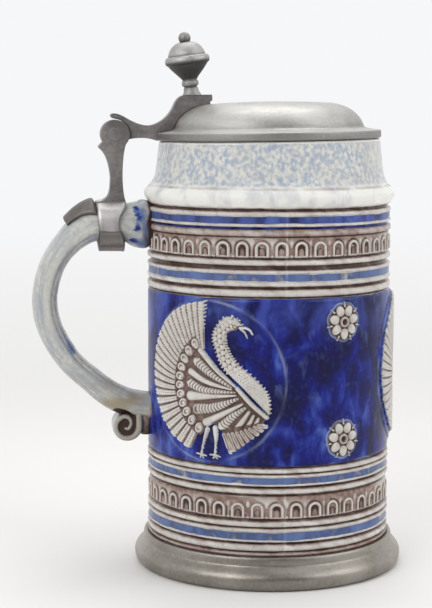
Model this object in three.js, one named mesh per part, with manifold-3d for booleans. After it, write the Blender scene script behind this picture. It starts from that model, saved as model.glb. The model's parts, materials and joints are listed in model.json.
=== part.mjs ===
// A lidded beer mug: salt-glazed stoneware with relief, and a pewter lid, hinge, handle band and foot ring.
// Millimetres, +Z up. The origin is on the axis of the body, at its underside. The handle points along -X.
import * as THREE from "three";
import { mergeVertices } from "three/addons/utils/BufferGeometryUtils.js";
import Module from "manifold-3d";

const wasm = await Module();
wasm.setup();

// Clearances
const fitGap = 0.3; // between two pieces that touch on the real mug
const turnGap = 0.3; // between pieces that turn past each other

// Fineness of the solids
const turnSegments = 40; // sides of a large turned piece
const smallSegments = 16; // sides of a small one
const hingeSegments = 24; // sides of the knuckles

// Body: radius of the tall panel that carries the medallions, and how the rest of the wall stands to it
const panelRadius = 52.3;
const bandDepth = 0.3; // flat bands between rings
const ringRise = 0.2; // crests of the rings
const grooveDepth = 0.8; // bottoms of the grooves
const friezeDepth = 0.6; // ground of the two friezes
const footDepth = 0.7; // wall hidden inside the foot ring

// Body: courses of the outside wall, each with its height, from the shoulder over the foot up to the panel
const shoulderHeight = 13.9;
const lowerCourses = [
  ["ridge", 1.3],
  ["groove", 0.6],
  ["ring", 2.8],
  ["groove", 1.0],
  ["ridge", 0.8],
  ["band", 3.3],
  ["ridge", 1.6],
  ["groove", 0.6],
  ["ring", 2.3],
  ["groove", 1.3],
  ["frieze", 8.9],
  ["groove", 1.3],
  ["ring", 2.3],
  ["groove", 1.0],
  ["ridge", 0.8],
  ["band", 2.8],
  ["ridge", 1.3],
  ["groove", 0.4],
  ["ring", 2.1],
  ["groove", 0.6],
];
const panelHeight = 69.3;
// and from the panel up to the bead under the neck
const upperCourses = [
  ["groove", 0.7],
  ["ring", 2.9],
  ["groove", 1.2],
  ["ring", 2.1],
  ["band", 3.1],
  ["ridge", 1.5],
  ["groove", 1.9],
  ["ring", 2.3],
  ["groove", 1.0],
  ["frieze", 7.8],
  ["groove", 0.7],
  ["ring", 2.7],
  ["groove", 1.1],
  ["ridge", 1.2],
  ["band", 3.0],
  ["ring", 1.9],
  ["groove", 1.2],
];

// Body: bead, neck and inside
const beadRise = 1.6; // crest of the bead in front of the panel
const beadHeight = 8.4;
const neckDepth = 2.7; // foot of the neck behind the panel
const neckTaper = 2.2; // and how much narrower its rim is
const neckHeight = 18.5; // from the top of the bead to the middle of the rim
const wallThickness = 6.3;
const neckWallThickness = 6.2;
const rimThickness = 4.2;
const floorThickness = 9;

// Arcades on the friezes
const archCount = 40;
const archWidth = 5.6;
const archHeight = 5.9;
const archLine = 1.1; // width of the raised line
const archRelief = 0.6;
const archFoot = 0.55; // from the lower edge of the frieze
const archPhase = { lower: 5, upper: 6.8 }; // degrees round from +X to the first arch

// Medallions and rosettes on the panel
const medallionAngles = { front: 0, right: -126.5, left: 126.5 };
const medallionRadius = 33.2;
const fieldRelief = 0.5;
const fanRelief = 1.1;
const wingRelief = 1.5;
const neckRelief = 1.9;
const rosetteAngles = { right: -62, left: 62 };
const rosetteRadius = 7.8;
const rosettePetals = 7;
const rosetteRelief = 1.1;
const rosetteBossRadius = 2.7;
const rosetteBossRelief = 1.5;
const rosetteInset = 10.3; // centre below the upper edge or above the lower edge of the panel

// Foot ring
const footRingWidth = 6.3; // at its widest
const footRingUnderWidth = 3.5; // of its flat underside
const footRingRollHeight = 4.4; // height of the widest place
const footRingLip = 2.5; // wall of the upright lip
const footRingLipHeight = 3.4;

// Handle: middle of its side view from inside the upper wall to inside the lower one, each point with its
// distance out from the panel, the thickness there and its height over the lower end
const handleTopRise = 27.3; // upper end over the top of the panel
const handleFootRise = 16.5; // lower end over the foot of the panel
const handleRoute = [
  [-3.3, 22, 80.1],
  [4.2, 21.2, 80.1],
  [10.1, 17, 80.7],
  [15.7, 15.8, 80.5],
  [22.9, 16, 80.3],
  [30, 13.8, 76.5],
  [36.1, 12.1, 70.5],
  [40.9, 11.4, 63],
  [43.7, 11.5, 54.3],
  [44.4, 11.4, 44.7],
  [42.5, 11.5, 36.1],
  [38.7, 11.4, 28.1],
  [32.6, 11, 19.7],
  [24.7, 11.2, 12.6],
  [17, 12, 6.6],
  [8.9, 12.6, 2.5],
  [-2.3, 14, 0],
];
const handleWidthTop = 21;
const handleWidthLow = 18;
const handleSteps = 30;
const handleSides = 12;

// Handle: the rolled end under its lower joint
const rollReach = 9.3; // middle of the roll, out from the panel
const rollDrop = 6.5; // and below the lower end of the handle's route
const rollRadius = 5.6; // middle of the strip where the roll starts
const rollTightening = 0.72; // share of that radius that is gone after one turn
const rollStripStart = 3.8;
const rollStripEnd = 2.4;
const rollRise = 10; // straight stretch that joins the roll to the handle
const rollSteps = 16;

// Band on the handle
const bandLead = 3.5; // its edge near the body, from the pin
const bandLength = 11;
const bandSplitDrop = 2.6; // where saddle and strap meet, below the upper end of the handle's route
const saddleThickness = 1.5;
const strapThickness = 3.9;
const strapSide = 2.1;
const tangThickness = 1.4;
const tangLength = 14.2;
const tangRootDepth = 6.2; // how far down the side of the handle the leaf reaches at its root

// Hinge
const hingeOverhang = 19.1; // from the outside of the rim to the pin
const seatDrop = 3.4; // from the pin down to the plane of the rim
const seatSlope = 0.95; // degrees; the rim is a little higher in front than at the handle
const pinRadius = 2.2;
const knuckleRadius = 6.1;
const middleKnuckle = 4.8; // length along the pin
const outerKnuckle = 4.1;
const capRadius = 2.9;
const capThickness = 0.9;

// Post: half thickness in the side view at named depths below the pin, and its width along the pin
const postWaistDepth = 18;
const postWaistFront = 3.1;
const postWaistBack = 2;
const postRootDepth = 3; // how far its foot reaches into the saddle's place before it is cut to the saddle
const postFootFront = 4;
const postFootBack = 3.6;
const postWaistWidth = 8.6;
const postFootWidth = 12;
const nibReach = 7; // stop nib behind the post
const nibDepth = 5.5;

// Lid
const lidShift = 0.5; // how far the lid sits off the axis of the body, towards the handle
const flangeOverhang = 1; // of its edge past the rim
const flangeThickness = 3.4;
const flangeRise = 1.4; // of its sloping top
const flangeWidth = 7.4; // from its edge to the foot of the dome
const domeShoulderWidth = 14; // from the foot of the dome to its flatter top
const domeShoulderRise = 15.1; // above the underside of the lid's edge, as the next one
const domeHeight = 16;
const lidWall = 1.8;

// Lever
const leverWidth = 9;
const armThickness = 3.2; // over the edge of the lid
const padRise = 3.25; // pad above the top of the dome
const padStart = 5.4; // from the foot of the dome
const padLength = 11.2;

// Thumb knob
const knobInset = 2.8; // its foot from the start of the pad
const knobLean = 6.4; // degrees towards the handle
const knobRadius = 9.7;
const knobNeckRadius = 3.3;
const knobBallRadius = 2.6;

// Finishes
const pewter = { color: 0x8f8d88, roughness: 0.42, metalness: 1 };
const darkPewter = { color: 0x6f6d69, roughness: 0.5, metalness: 1 };
const blueGlaze = { color: 0x2a3a8f, roughness: 0.18, metalness: 0 };
const paleGlaze = { color: 0xcfc8c2, roughness: 0.25, metalness: 0 };

// Derived radii of the body
const bandRadius = panelRadius - bandDepth;
const ringRadius = panelRadius + ringRise;
const grooveRadius = panelRadius - grooveDepth;
const friezeRadius = panelRadius - friezeDepth;
const footRadius = panelRadius - footDepth;
const beadRadius = panelRadius + beadRise;
const neckFootRadius = panelRadius - neckDepth;
const rimRadius = neckFootRadius - neckTaper;

// Derived heights
const panelFoot = shoulderHeight + sumHeights(lowerCourses);
const panelTop = panelFoot + panelHeight;
const panelMiddle = (panelFoot + panelTop) / 2;
const beadFoot = panelTop + sumHeights(upperCourses);
const beadTop = beadFoot + beadHeight;
const rimHeight = beadTop + neckHeight;
const handleTop = panelTop + handleTopRise;
const handleFoot = panelFoot + handleFootRise;
const bandSplitHeight = handleTop - bandSplitDrop;

// Derived places of the hinge, with the lid's heights above the pin and distances from it
const hingeReach = rimRadius + hingeOverhang;
const hingeHeight = rimHeight + seatDrop - hingeReach * Math.tan(radians(seatSlope));
const bandNear = bandLead - hingeReach;
const bandFar = bandNear - bandLength;
const tangTip = bandFar - tangLength;
const barrelHalf = middleKnuckle / 2 + turnGap + outerKnuckle;
const pinHole = pinRadius + turnGap;
const leverReach = knuckleRadius + turnGap; // the arm's full width starts this far from the pin
const flangeRadius = rimRadius + flangeOverhang;
const domeFootRadius = flangeRadius - flangeWidth;
const domeShoulderRadius = domeFootRadius - domeShoulderWidth;
const lidReach = hingeReach - lidShift;
const lidUnder = -seatDrop + fitGap;
const flangeTop = lidUnder + flangeThickness;
const flangeEdge = lidReach - flangeRadius;
const domeFoot = lidReach - domeFootRadius;
const padTop = lidUnder + domeHeight + padRise;
const padEnd = domeFoot + padStart + padLength;
const knobStand = domeFoot + padStart + knobInset;

function sumHeights(courses) {
  return courses.reduce((sum, [, height]) => sum + height, 0);
}

function radians(degrees) {
  return THREE.MathUtils.degToRad(degrees);
}

// Solids and geometries
function solidFrom(geometry) {
  const bare = geometry.index ? geometry.toNonIndexed() : geometry.clone();
  bare.deleteAttribute("normal");
  bare.deleteAttribute("uv");
  const merged = mergeVertices(bare, 1e-4);
  return new wasm.Manifold(
    new wasm.Mesh({
      numProp: 3,
      vertProperties: merged.attributes.position.array,
      triVerts: new Uint32Array(merged.index.array),
    }),
  );
}

function geometryFrom(solid) {
  const mesh = solid.getMesh();
  const geometry = new THREE.BufferGeometry();
  geometry.setAttribute("position", new THREE.BufferAttribute(mesh.vertProperties, mesh.numProp));
  geometry.setIndex(new THREE.BufferAttribute(mesh.triVerts, 1));
  geometry.computeVertexNormals();
  return geometry;
}

function unite(solids) {
  return solids.reduce((all, one) => all.add(one));
}

function finish(name, solid, look) {
  const mesh = new THREE.Mesh(geometryFrom(solid), new THREE.MeshStandardMaterial(look));
  mesh.name = name;
  return mesh;
}

// Turned solid from [radius, height] points that run anticlockwise
function turned(points, segments = turnSegments) {
  const profile = points.map(([radius, height]) => new THREE.Vector2(radius, height));
  return solidFrom(new THREE.LatheGeometry(profile, segments).rotateX(Math.PI / 2));
}

function pathPoints(path, divisions) {
  return path.getPoints(divisions).map((p) => [p.x, p.y]);
}

// Side view in X and Z, given a width along Y and centred on it
function slab(shape, width) {
  const geometry = new THREE.ExtrudeGeometry(shape, {
    depth: width,
    bevelEnabled: false,
    curveSegments: 8,
  });
  return solidFrom(geometry.rotateX(Math.PI / 2).translate(0, width / 2, 0));
}

function polygon(points) {
  return new THREE.Shape(points.map(([x, y]) => new THREE.Vector2(x, y)));
}

// Cylinder along Y
function axle(radius, from, to, segments = smallSegments) {
  const geometry = new THREE.CylinderGeometry(radius, radius, to - from, segments);
  return solidFrom(geometry.translate(0, (from + to) / 2, 0));
}

function box(x0, x1, y0, y1, z0, z1) {
  const geometry = new THREE.BoxGeometry(x1 - x0, y1 - y0, z1 - z0);
  return solidFrom(geometry.translate((x0 + x1) / 2, (y0 + y1) / 2, (z0 + z1) / 2));
}

// Body
function courseProfile(courses, foot, friezeRise) {
  const shapes = {
    ring: (z, h) => [
      [ringRadius, z + 0.2 * h],
      [ringRadius, z + 0.8 * h],
    ],
    ridge: (z, h) => [[ringRadius, z + h / 2]],
    groove: (z, h) => [[grooveRadius, z + h / 2]],
    band: (z, h) => [
      [bandRadius, z],
      [bandRadius, z + h],
    ],
    frieze: (z, h) => [
      [friezeRadius + friezeRise, z],
      [friezeRadius + friezeRise, z + h],
    ],
  };
  const points = [];
  let z = foot;
  for (const [kind, height] of courses) {
    points.push(...shapes[kind](z, height));
    z += height;
  }
  return points;
}

function neckRadiusAt(z) {
  const share = (z - beadTop) / neckHeight;
  return neckFootRadius + (rimRadius - neckFootRadius) * share;
}

// Outside of the body from the underside to above the rim, where the slope of the rim cuts it. What is fitted
// to the body clears it by a spread, and clears the arches on the friezes too.
function outerWall(spread = 0, friezeRise = 0) {
  const top = rimHeight + seatDrop;
  const points = [
    [footRadius - 1, 0],
    [footRadius, 1],
    [footRadius, shoulderHeight - fitGap],
    ...courseProfile(lowerCourses, shoulderHeight, friezeRise),
    [panelRadius, panelFoot],
    [panelRadius, panelTop],
    ...courseProfile(upperCourses, panelTop, friezeRise),
    [beadRadius - 1.3, beadFoot + 0.12 * beadHeight],
    [beadRadius - 0.2, beadFoot + 0.36 * beadHeight],
    [beadRadius, beadFoot + 0.52 * beadHeight],
    [beadRadius - 0.8, beadFoot + 0.72 * beadHeight],
    [(beadRadius + neckFootRadius) / 2 - 0.6, beadTop],
    [neckRadiusAt(beadTop + 3.2), beadTop + 3.2],
    [neckRadiusAt(top), top],
  ];
  return points.map(([radius, z]) => [radius + spread, z]);
}

function innerWall() {
  const radius = panelRadius - wallThickness;
  const top = rimHeight + seatDrop;
  return [
    [neckRadiusAt(top) - rimThickness, top],
    [neckRadiusAt(beadTop) - neckWallThickness, beadTop],
    [radius, beadFoot - 5],
    [radius, floorThickness + 5],
    [radius - 1.6, floorThickness + 1.6],
    [radius - 5, floorThickness],
  ];
}

function arch() {
  const half = archWidth / 2;
  const outline = (inset) => {
    const reach = half - inset;
    const rise = archHeight - half;
    return [
      [-reach, 0],
      [-reach, rise],
      [-reach * 0.5, rise + reach * 0.87],
      [reach * 0.5, rise + reach * 0.87],
      [reach, rise],
      [reach, 0],
    ];
  };
  return polygon([...outline(0), ...outline(archLine).reverse()]);
}

// Geometry of a flat shape, drawn as seen from outside, stood up along +X between two radii
function facing(shape, from, to) {
  const geometry = new THREE.ExtrudeGeometry(shape, {
    depth: to - from,
    bevelEnabled: false,
    curveSegments: 8,
  });
  const stand = new THREE.Matrix4().makeBasis(
    new THREE.Vector3(0, 1, 0),
    new THREE.Vector3(0, 0, 1),
    new THREE.Vector3(1, 0, 0),
  );
  return geometry.applyMatrix4(stand).translate(from, 0, 0);
}

function arcade(friezeFoot, phase) {
  const ground = friezeRadius * Math.cos(Math.PI / archCount);
  const relief = facing(arch(), ground - archRelief, ground + archRelief);
  relief.translate(0, 0, friezeFoot + archFoot);
  return Array.from({ length: archCount }, (_, i) => {
    const angle = radians(phase) + (i * 2 * Math.PI) / archCount;
    return solidFrom(relief.clone().rotateZ(angle));
  });
}

function heightBefore(courses, kind) {
  const index = courses.findIndex(([name]) => name === kind);
  return sumHeights(courses.slice(0, index));
}

function stonewareBody() {
  const pot = turned([[0, 0], ...outerWall(), ...innerWall(), [0, floorThickness]]);
  const lowerFrieze = shoulderHeight + heightBefore(lowerCourses, "frieze");
  const upperFrieze = panelTop + heightBefore(upperCourses, "frieze");
  const arches = [...arcade(lowerFrieze, archPhase.lower), ...arcade(upperFrieze, archPhase.upper)];
  const carved = unite([pot, ...arches]);
  const reach = 2 * beadRadius;
  const above = new THREE.BoxGeometry(2 * reach, 2 * reach, reach);
  above.translate(hingeReach, 0, reach / 2 - seatDrop).applyMatrix4(hingeFrame());
  return carved.subtract(solidFrom(above));
}

// Reliefs on the panel. A flat shape is narrowed towards its sides, so that it keeps its size along the wall.
function onPanel(points, relief, angle, z) {
  const wrapped = points.map(([u, v]) => [panelRadius * Math.sin(u / panelRadius), v]);
  const prism = facing(polygon(wrapped), panelRadius / 2, panelRadius + 2 * relief);
  prism.translate(0, 0, z).rotateZ(radians(angle));
  const inner = panelRadius + fitGap;
  const shell = turned([
    [inner, panelFoot],
    [inner + relief, panelFoot],
    [inner + relief, panelTop],
    [inner, panelTop],
    [inner, panelFoot],
  ]);
  return solidFrom(prism).intersect(shell);
}

function circlePoints(radius, count, from = 0, to = 360) {
  const steps = to - from < 360 ? count : count - 1;
  return Array.from({ length: steps + 1 }, (_, i) => {
    const a = radians(from + ((to - from) * i) / count);
    return [radius * Math.cos(a), radius * Math.sin(a)];
  });
}

function curved(points, count) {
  const knots = points.map(([x, y]) => new THREE.Vector2(x, y));
  return new THREE.SplineCurve(knots).getPoints(count).map((p) => [p.x, p.y]);
}

// Main masses of the bird, from the middle of its medallion and in hundredths of the medallion's radius: it
// faces right with its tail spread behind it
function birdMasses() {
  const tail = 97.3;
  const fan = [...circlePoints(tail, 14, 89, 250), [-9, -63.3], [24.1, -18.1], [-9, 45.2]];
  const tips = [[-9, 37.7], [-25.9, 7.8], [-28.9, -21.1], [-6, -53], [21.1, -58.4], [51.2, -58.4], [77.1, -44.6]];
  const wing = [
    ...curved(tips, 12),
    [40.7, -6.6],
  ];
  const neck = [
    ...curved([[39.2, -6], [22.9, 16.6], [12, 36.1], [10.8, 63.3], [28.9, 81.3], [47, 74.7]], 9),
    [60.2, 59.9],
    [49.4, 62],
    ...curved([[37.3, 65.7], [31.3, 49.4], [41, 28.9], [63.3, 10.8], [83.1, -17.5], [78.9, -42.8]], 9),
  ];
  const legs = [-17.2, 38.3].map((u) => [
    [u - 2.4, -57.2],
    [u - 1.5, -88],
    [u - 6.6, -92.2],
    [u + 6.6, -92.2],
    [u + 1.5, -88],
    [u + 2.4, -57.2],
  ]);
  const fringe = [[21.1, -56], [28.3, -86.7], [36.1, -88], [56, -75.3], [78.3, -50.6], [66.3, -47]];
  return { fan, wing, neck, legs, fringe };
}

function medallion(angle) {
  const bird = birdMasses();
  const hundredth = medallionRadius / 100;
  const place = (points, relief) =>
    onPanel(
      points.map(([u, v]) => [u * hundredth, v * hundredth]),
      relief,
      angle,
      panelMiddle,
    );
  return unite([
    place(circlePoints(100, 32), fieldRelief),
    place(bird.fan, fanRelief),
    place(bird.fringe, fanRelief),
    ...bird.legs.map((leg) => place(leg, fanRelief)),
    place(bird.wing, wingRelief),
    place(bird.neck, neckRelief),
  ]);
}

function rosette(angle, z) {
  const perPetal = 4;
  const petals = circlePoints(rosetteRadius, rosettePetals * perPetal).map(([u, v], i) => {
    const share = 0.76 + 0.24 * Math.abs(Math.cos((Math.PI * i) / perPetal));
    return [u * share, v * share];
  });
  return onPanel(petals, rosetteRelief, angle, z).add(
    onPanel(circlePoints(rosetteBossRadius, 8), rosetteBossRelief, angle, z),
  );
}

// Foot ring
function footRing() {
  const inner = footRadius + fitGap;
  const top = shoulderHeight - fitGap;
  const outside = new THREE.Path();
  outside.moveTo(inner, 0);
  outside.lineTo(inner + footRingUnderWidth, 0);
  outside.quadraticCurveTo(inner + footRingWidth, 0.4, inner + footRingWidth, footRingRollHeight);
  outside.bezierCurveTo(
    inner + footRingWidth,
    footRingRollHeight + 3.2,
    inner + footRingLip + 0.4,
    top - footRingLipHeight - 1.2,
    inner + footRingLip,
    top - footRingLipHeight,
  );
  outside.lineTo(inner + footRingLip, top - 0.5);
  outside.lineTo(inner + footRingLip - 0.5, top);
  outside.lineTo(inner, top);
  outside.lineTo(inner, 0);
  return turned(pathPoints(outside, 5));
}

// Handle. The curve through the route holds the thickness in its y. The route is stretched between its ends.
function handleCurve() {
  const stretch = (handleTop - handleFoot) / (handleRoute[0][2] - handleRoute.at(-1)[2]);
  const place = ([out, thickness, height]) =>
    new THREE.Vector3(-panelRadius - out, thickness, handleFoot + height * stretch);
  return new THREE.CatmullRomCurve3(handleRoute.map(place));
}

// Closed skin over sections across a route in the XZ plane, each station {x, z, thickness, width}
function loft(stations, sides) {
  const squareness = 0.8;
  const soften = (v) => Math.sign(v) * Math.abs(v) ** squareness;
  const rings = stations.map((s, i) => {
    const before = stations[Math.max(i - 1, 0)];
    const after = stations[Math.min(i + 1, stations.length - 1)];
    const along = new THREE.Vector2(after.x - before.x, after.z - before.z).normalize();
    return Array.from({ length: sides }, (_, k) => {
      const a = (2 * Math.PI * k) / sides;
      const out = (soften(Math.cos(a)) * s.thickness) / 2;
      const aside = (soften(Math.sin(a)) * s.width) / 2;
      return [s.x + along.y * out, aside, s.z - along.x * out];
    });
  });
  const triangles = [];
  for (let i = 0; i < rings.length - 1; i++) {
    for (let k = 0; k < sides; k++) {
      const next = (k + 1) % sides;
      const [a, b, c, d] = [rings[i][k], rings[i][next], rings[i + 1][next], rings[i + 1][k]];
      triangles.push(a, b, c, a, c, d);
    }
  }
  const [first, last] = [rings[0], rings[rings.length - 1]];
  for (let k = 1; k < sides - 1; k++) {
    triangles.push(first[0], first[k + 1], first[k], last[0], last[k], last[k + 1]);
  }
  const geometry = new THREE.BufferGeometry();
  geometry.setAttribute("position", new THREE.Float32BufferAttribute(triangles.flat(), 3));
  return solidFrom(geometry);
}

// The handle's main run, thicker by a spread on every side where something is fitted round it
function handleRun(spread = 0, sideSpread = spread) {
  const curve = handleCurve();
  const stations = Array.from({ length: handleSteps + 1 }, (_, i) => {
    const p = curve.getPoint(i / handleSteps);
    const width = THREE.MathUtils.lerp(handleWidthTop, handleWidthLow, i / handleSteps);
    return { x: p.x, z: p.z, thickness: p.y + 2 * spread, width: width + 2 * sideSpread };
  });
  return loft(stations, handleSides);
}

function handleRoll() {
  const rollCentre = { x: -panelRadius - rollReach, z: handleFoot - rollDrop };
  const start = { x: rollCentre.x + rollRadius, z: rollCentre.z + rollRise };
  const stations = [{ ...start, thickness: rollStripStart, width: handleWidthLow }];
  for (let i = 0; i <= rollSteps; i++) {
    const share = i / rollSteps;
    const radius = rollRadius * (1 - rollTightening * share ** 2.5);
    const angle = -2 * Math.PI * share;
    stations.push({
      x: rollCentre.x + radius * Math.cos(angle),
      z: rollCentre.z + radius * Math.sin(angle),
      thickness: THREE.MathUtils.lerp(rollStripStart, rollStripEnd, share),
      width: handleWidthLow,
    });
  }
  return loft(stations, handleSides);
}

function stonewareHandle() {
  const pot = turned([[0, 0], ...outerWall(fitGap, archRelief), [0, rimHeight + seatDrop]]);
  return handleRun().add(handleRoll()).subtract(pot);
}

// Band on the handle
function bandShell(thickness, side) {
  return handleRun(fitGap + thickness, fitGap + side).subtract(handleRun(fitGap));
}

function handleSaddle() {
  const low = bandSplitHeight + fitGap / 2;
  const region = box(bandFar, bandNear, -handleWidthTop, handleWidthTop, low, hingeHeight);
  return bandShell(saddleThickness, saddleThickness).intersect(region);
}

function handleStrap() {
  const [low, high] = [bandSplitHeight - handleWidthTop, bandSplitHeight - fitGap / 2];
  const region = box(bandFar, bandNear, -handleWidthTop, handleWidthTop, low, high);
  return bandShell(strapThickness, strapSide).intersect(region);
}

function handleTang() {
  const root = bandFar - fitGap;
  const rootTop = hingeHeight;
  const lowerEdge = handleTopAt(root) - tangRootDepth;
  const side = polygon([
    [root, rootTop],
    [tangTip, rootTop],
    [tangTip, handleTopAt(tangTip) - 0.6],
    [(root + tangTip) / 2, (lowerEdge + handleTopAt(tangTip)) / 2 + 0.8],
    [root, lowerEdge],
  ].reverse());
  return bandShell(tangThickness, tangThickness).intersect(slab(side, 3 * handleWidthTop));
}

// Height of the handle's top, where its route first reaches an x
function handleTopAt(x) {
  const curve = handleCurve();
  let share = 0;
  while (curve.getPoint(share).x > x) share += 0.002;
  const p = curve.getPoint(share);
  const tangent = curve.getTangent(share);
  const slope = tangent.z / tangent.x;
  return p.z + (p.y / 2) * Math.sqrt(1 + slope * slope);
}

// Hinge. Its frame has the pin at the origin, and +X towards the front of the lid, parallel to the rim.
function hingeFrame() {
  const frame = new THREE.Matrix4().makeRotationY(-radians(seatSlope));
  return frame.setPosition(-hingeReach, 0, hingeHeight);
}

function besides(radius, half) {
  const end = barrelHalf + knuckleRadius;
  return axle(radius, half, end, hingeSegments).add(axle(radius, -end, -half, hingeSegments));
}

function hingePost() {
  const postFootDepth = hingeHeight - handleTopAt(-hingeReach) - saddleThickness + postRootDepth;
  const back = new THREE.Shape();
  back.moveTo(postFootFront, -postFootDepth);
  back.quadraticCurveTo(postWaistFront, -postWaistDepth - 6, postWaistFront, -postWaistDepth);
  back.quadraticCurveTo(postWaistFront, -knuckleRadius - 2, 0.72 * knuckleRadius, -0.7 * knuckleRadius);
  back.lineTo(0, 0);
  back.lineTo(-knuckleRadius + 0.7, -3);
  back.lineTo(-nibReach, -nibDepth);
  back.quadraticCurveTo(-postWaistBack - 0.8, -nibDepth - 3, -postWaistBack, -postWaistDepth);
  back.quadraticCurveTo(-postWaistBack + 0.5, -postWaistDepth - 5, -postFootBack, -postFootDepth);
  const upright = slab(back, 2 * barrelHalf);
  const half = { foot: postFootWidth / 2, waist: postWaistWidth / 2 };
  const front = new THREE.Shape();
  front.moveTo(-half.foot, -postFootDepth);
  front.lineTo(half.foot, -postFootDepth);
  front.quadraticCurveTo(half.waist, -postWaistDepth - 6, half.waist, -postWaistDepth);
  front.quadraticCurveTo(half.waist, -knuckleRadius - 3, barrelHalf, -knuckleRadius);
  front.lineTo(barrelHalf, knuckleRadius);
  front.lineTo(-barrelHalf, knuckleRadius);
  front.lineTo(-barrelHalf, -knuckleRadius);
  front.quadraticCurveTo(-half.waist, -knuckleRadius - 3, -half.waist, -postWaistDepth);
  front.quadraticCurveTo(-half.waist, -postWaistDepth - 6, -half.foot, -postFootDepth);
  const across = solidFrom(facing(front, -4 * knuckleRadius, 4 * knuckleRadius));
  const shaped = upright.intersect(across).add(axle(knuckleRadius, -barrelHalf, barrelHalf, hingeSegments));
  const middle = middleKnuckle / 2 + turnGap;
  const bored = shaped
    .subtract(axle(knuckleRadius + turnGap, -middle, middle, hingeSegments))
    .subtract(axle(pinHole, -barrelHalf - 1, barrelHalf + 1))
    .subtract(besides(capRadius + fitGap, barrelHalf - capThickness));
  const placed = bored.translate([-hingeReach, 0, hingeHeight]);
  return placed.subtract(handleRun(2 * fitGap + saddleThickness));
}

function hingePin() {
  const half = barrelHalf - capThickness - fitGap / 3;
  return axle(pinRadius, -half, half).translate([-hingeReach, 0, hingeHeight]);
}

function pinCap(side) {
  const inner = barrelHalf - capThickness + fitGap;
  const ends = [side * inner, side * (inner + capThickness)].sort((a, b) => a - b);
  return axle(capRadius, ends[0], ends[1]).translate([-hingeReach, 0, hingeHeight]);
}

// Lid, in the frame of the hinge
function lidOutside(spread = 0) {
  const outside = new THREE.Path();
  const edge = flangeRadius + spread;
  const top = flangeTop + spread;
  outside.moveTo(edge - 0.3, lidUnder - spread);
  outside.lineTo(edge, lidUnder + 0.3 - spread);
  outside.lineTo(edge, top - 0.4);
  outside.lineTo(edge - 0.4, top);
  outside.lineTo(domeFootRadius + spread + 0.6, top + flangeRise - 0.2);
  outside.lineTo(domeFootRadius + spread, top + flangeRise + 0.2);
  outside.bezierCurveTo(
    domeFootRadius + spread - 1,
    lidUnder + 0.6 * domeHeight + spread,
    domeShoulderRadius + 8 + spread,
    lidUnder + domeShoulderRise - 0.9 + spread,
    domeShoulderRadius,
    lidUnder + domeShoulderRise + spread,
  );
  const crown = lidUnder + domeHeight + spread;
  outside.quadraticCurveTo(domeShoulderRadius / 2, crown, 0, crown);
  return pathPoints(outside, 4);
}

function lidInside() {
  const inside = new THREE.Path();
  inside.moveTo(0, lidUnder + domeHeight - lidWall);
  inside.quadraticCurveTo(
    domeShoulderRadius / 2,
    lidUnder + domeHeight - lidWall,
    domeShoulderRadius - 1,
    lidUnder + domeShoulderRise - lidWall,
  );
  inside.quadraticCurveTo(
    domeFootRadius - 3,
    lidUnder + 0.75 * domeHeight - lidWall,
    domeFootRadius - lidWall,
    lidUnder + flangeThickness / 2,
  );
  inside.lineTo(domeFootRadius - 1, lidUnder);
  return pathPoints(inside, 3);
}

function lidShell() {
  return turned([...lidInside(), ...lidOutside()]).translate([lidReach, 0, 0]);
}

// Lever: an arm over the edge and up the dome, with its knuckle and the beak that meets the stop nib
function lidLever() {
  const armTop = flangeTop + armThickness;
  const side = new THREE.Shape();
  side.moveTo(-1.1, 6.9);
  side.lineTo(-1.4, 8.7);
  side.quadraticCurveTo(0.4, 9.4, 3.9, 7.4);
  side.quadraticCurveTo(0.6 * flangeEdge, armTop - 0.4, flangeEdge - 2.4, armTop);
  side.quadraticCurveTo(flangeEdge + 4.1, armTop + 1.9, domeFoot + 0.9, padTop - 4.7);
  side.quadraticCurveTo(domeFoot + 3.2, padTop - 0.3, domeFoot + padStart, padTop);
  side.lineTo(padEnd, padTop);
  side.lineTo(padEnd, padTop - padRise - 2);
  side.lineTo(domeFoot + padStart, flangeTop);
  side.lineTo(flangeEdge + 1.6, lidUnder);
  side.quadraticCurveTo(0.7 * flangeEdge, -1, leverReach, -2.2);
  side.lineTo(0, 0);
  const arm = slab(side, leverWidth);
  const middle = middleKnuckle / 2;
  const lid = turned([[0, lidUnder - fitGap], ...lidOutside(fitGap)]).translate([lidReach, 0, 0]);
  return arm
    .subtract(besides(leverReach, middle))
    .add(axle(knuckleRadius - 0.2, -middle, middle, hingeSegments))
    .subtract(axle(pinHole, -barrelHalf, barrelHalf))
    .subtract(lid);
}

function thumbKnob() {
  const r = knobRadius;
  const n = knobNeckRadius;
  const ball = knobBallRadius;
  const profile = [
    [0, -2],
    [n + 0.9, -2],
    [n + 0.3, 0.8],
    [n, 2.4],
    [n - 0.3, 3.2],
    [n + 0.45, 3.9],
    [n + 0.45, 5.6],
    [n, 6.5],
    [n + 1, 8],
    [0.76 * r, 12],
    [r - 0.2, 14.3],
    [r, 14.9],
    [r - 0.9, 15.7],
    [0.78 * r, 17.8],
    [0.56 * r, 20.8],
    [0.3 * r, 22.5],
  ];
  const centre = 24.2;
  for (const degrees of [-50, -20, 10, 40, 65]) {
    profile.push([ball * Math.cos(radians(degrees)), centre + ball * Math.sin(radians(degrees))]);
  }
  profile.push([0, centre + ball]);
  const seat = box(0, 2 * knobStand, -knobRadius, knobRadius, 0, padTop + fitGap);
  return turned(profile, smallSegments)
    .rotate([0, -knobLean, 0])
    .translate([knobStand, 0, padTop])
    .subtract(seat);
}

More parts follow.
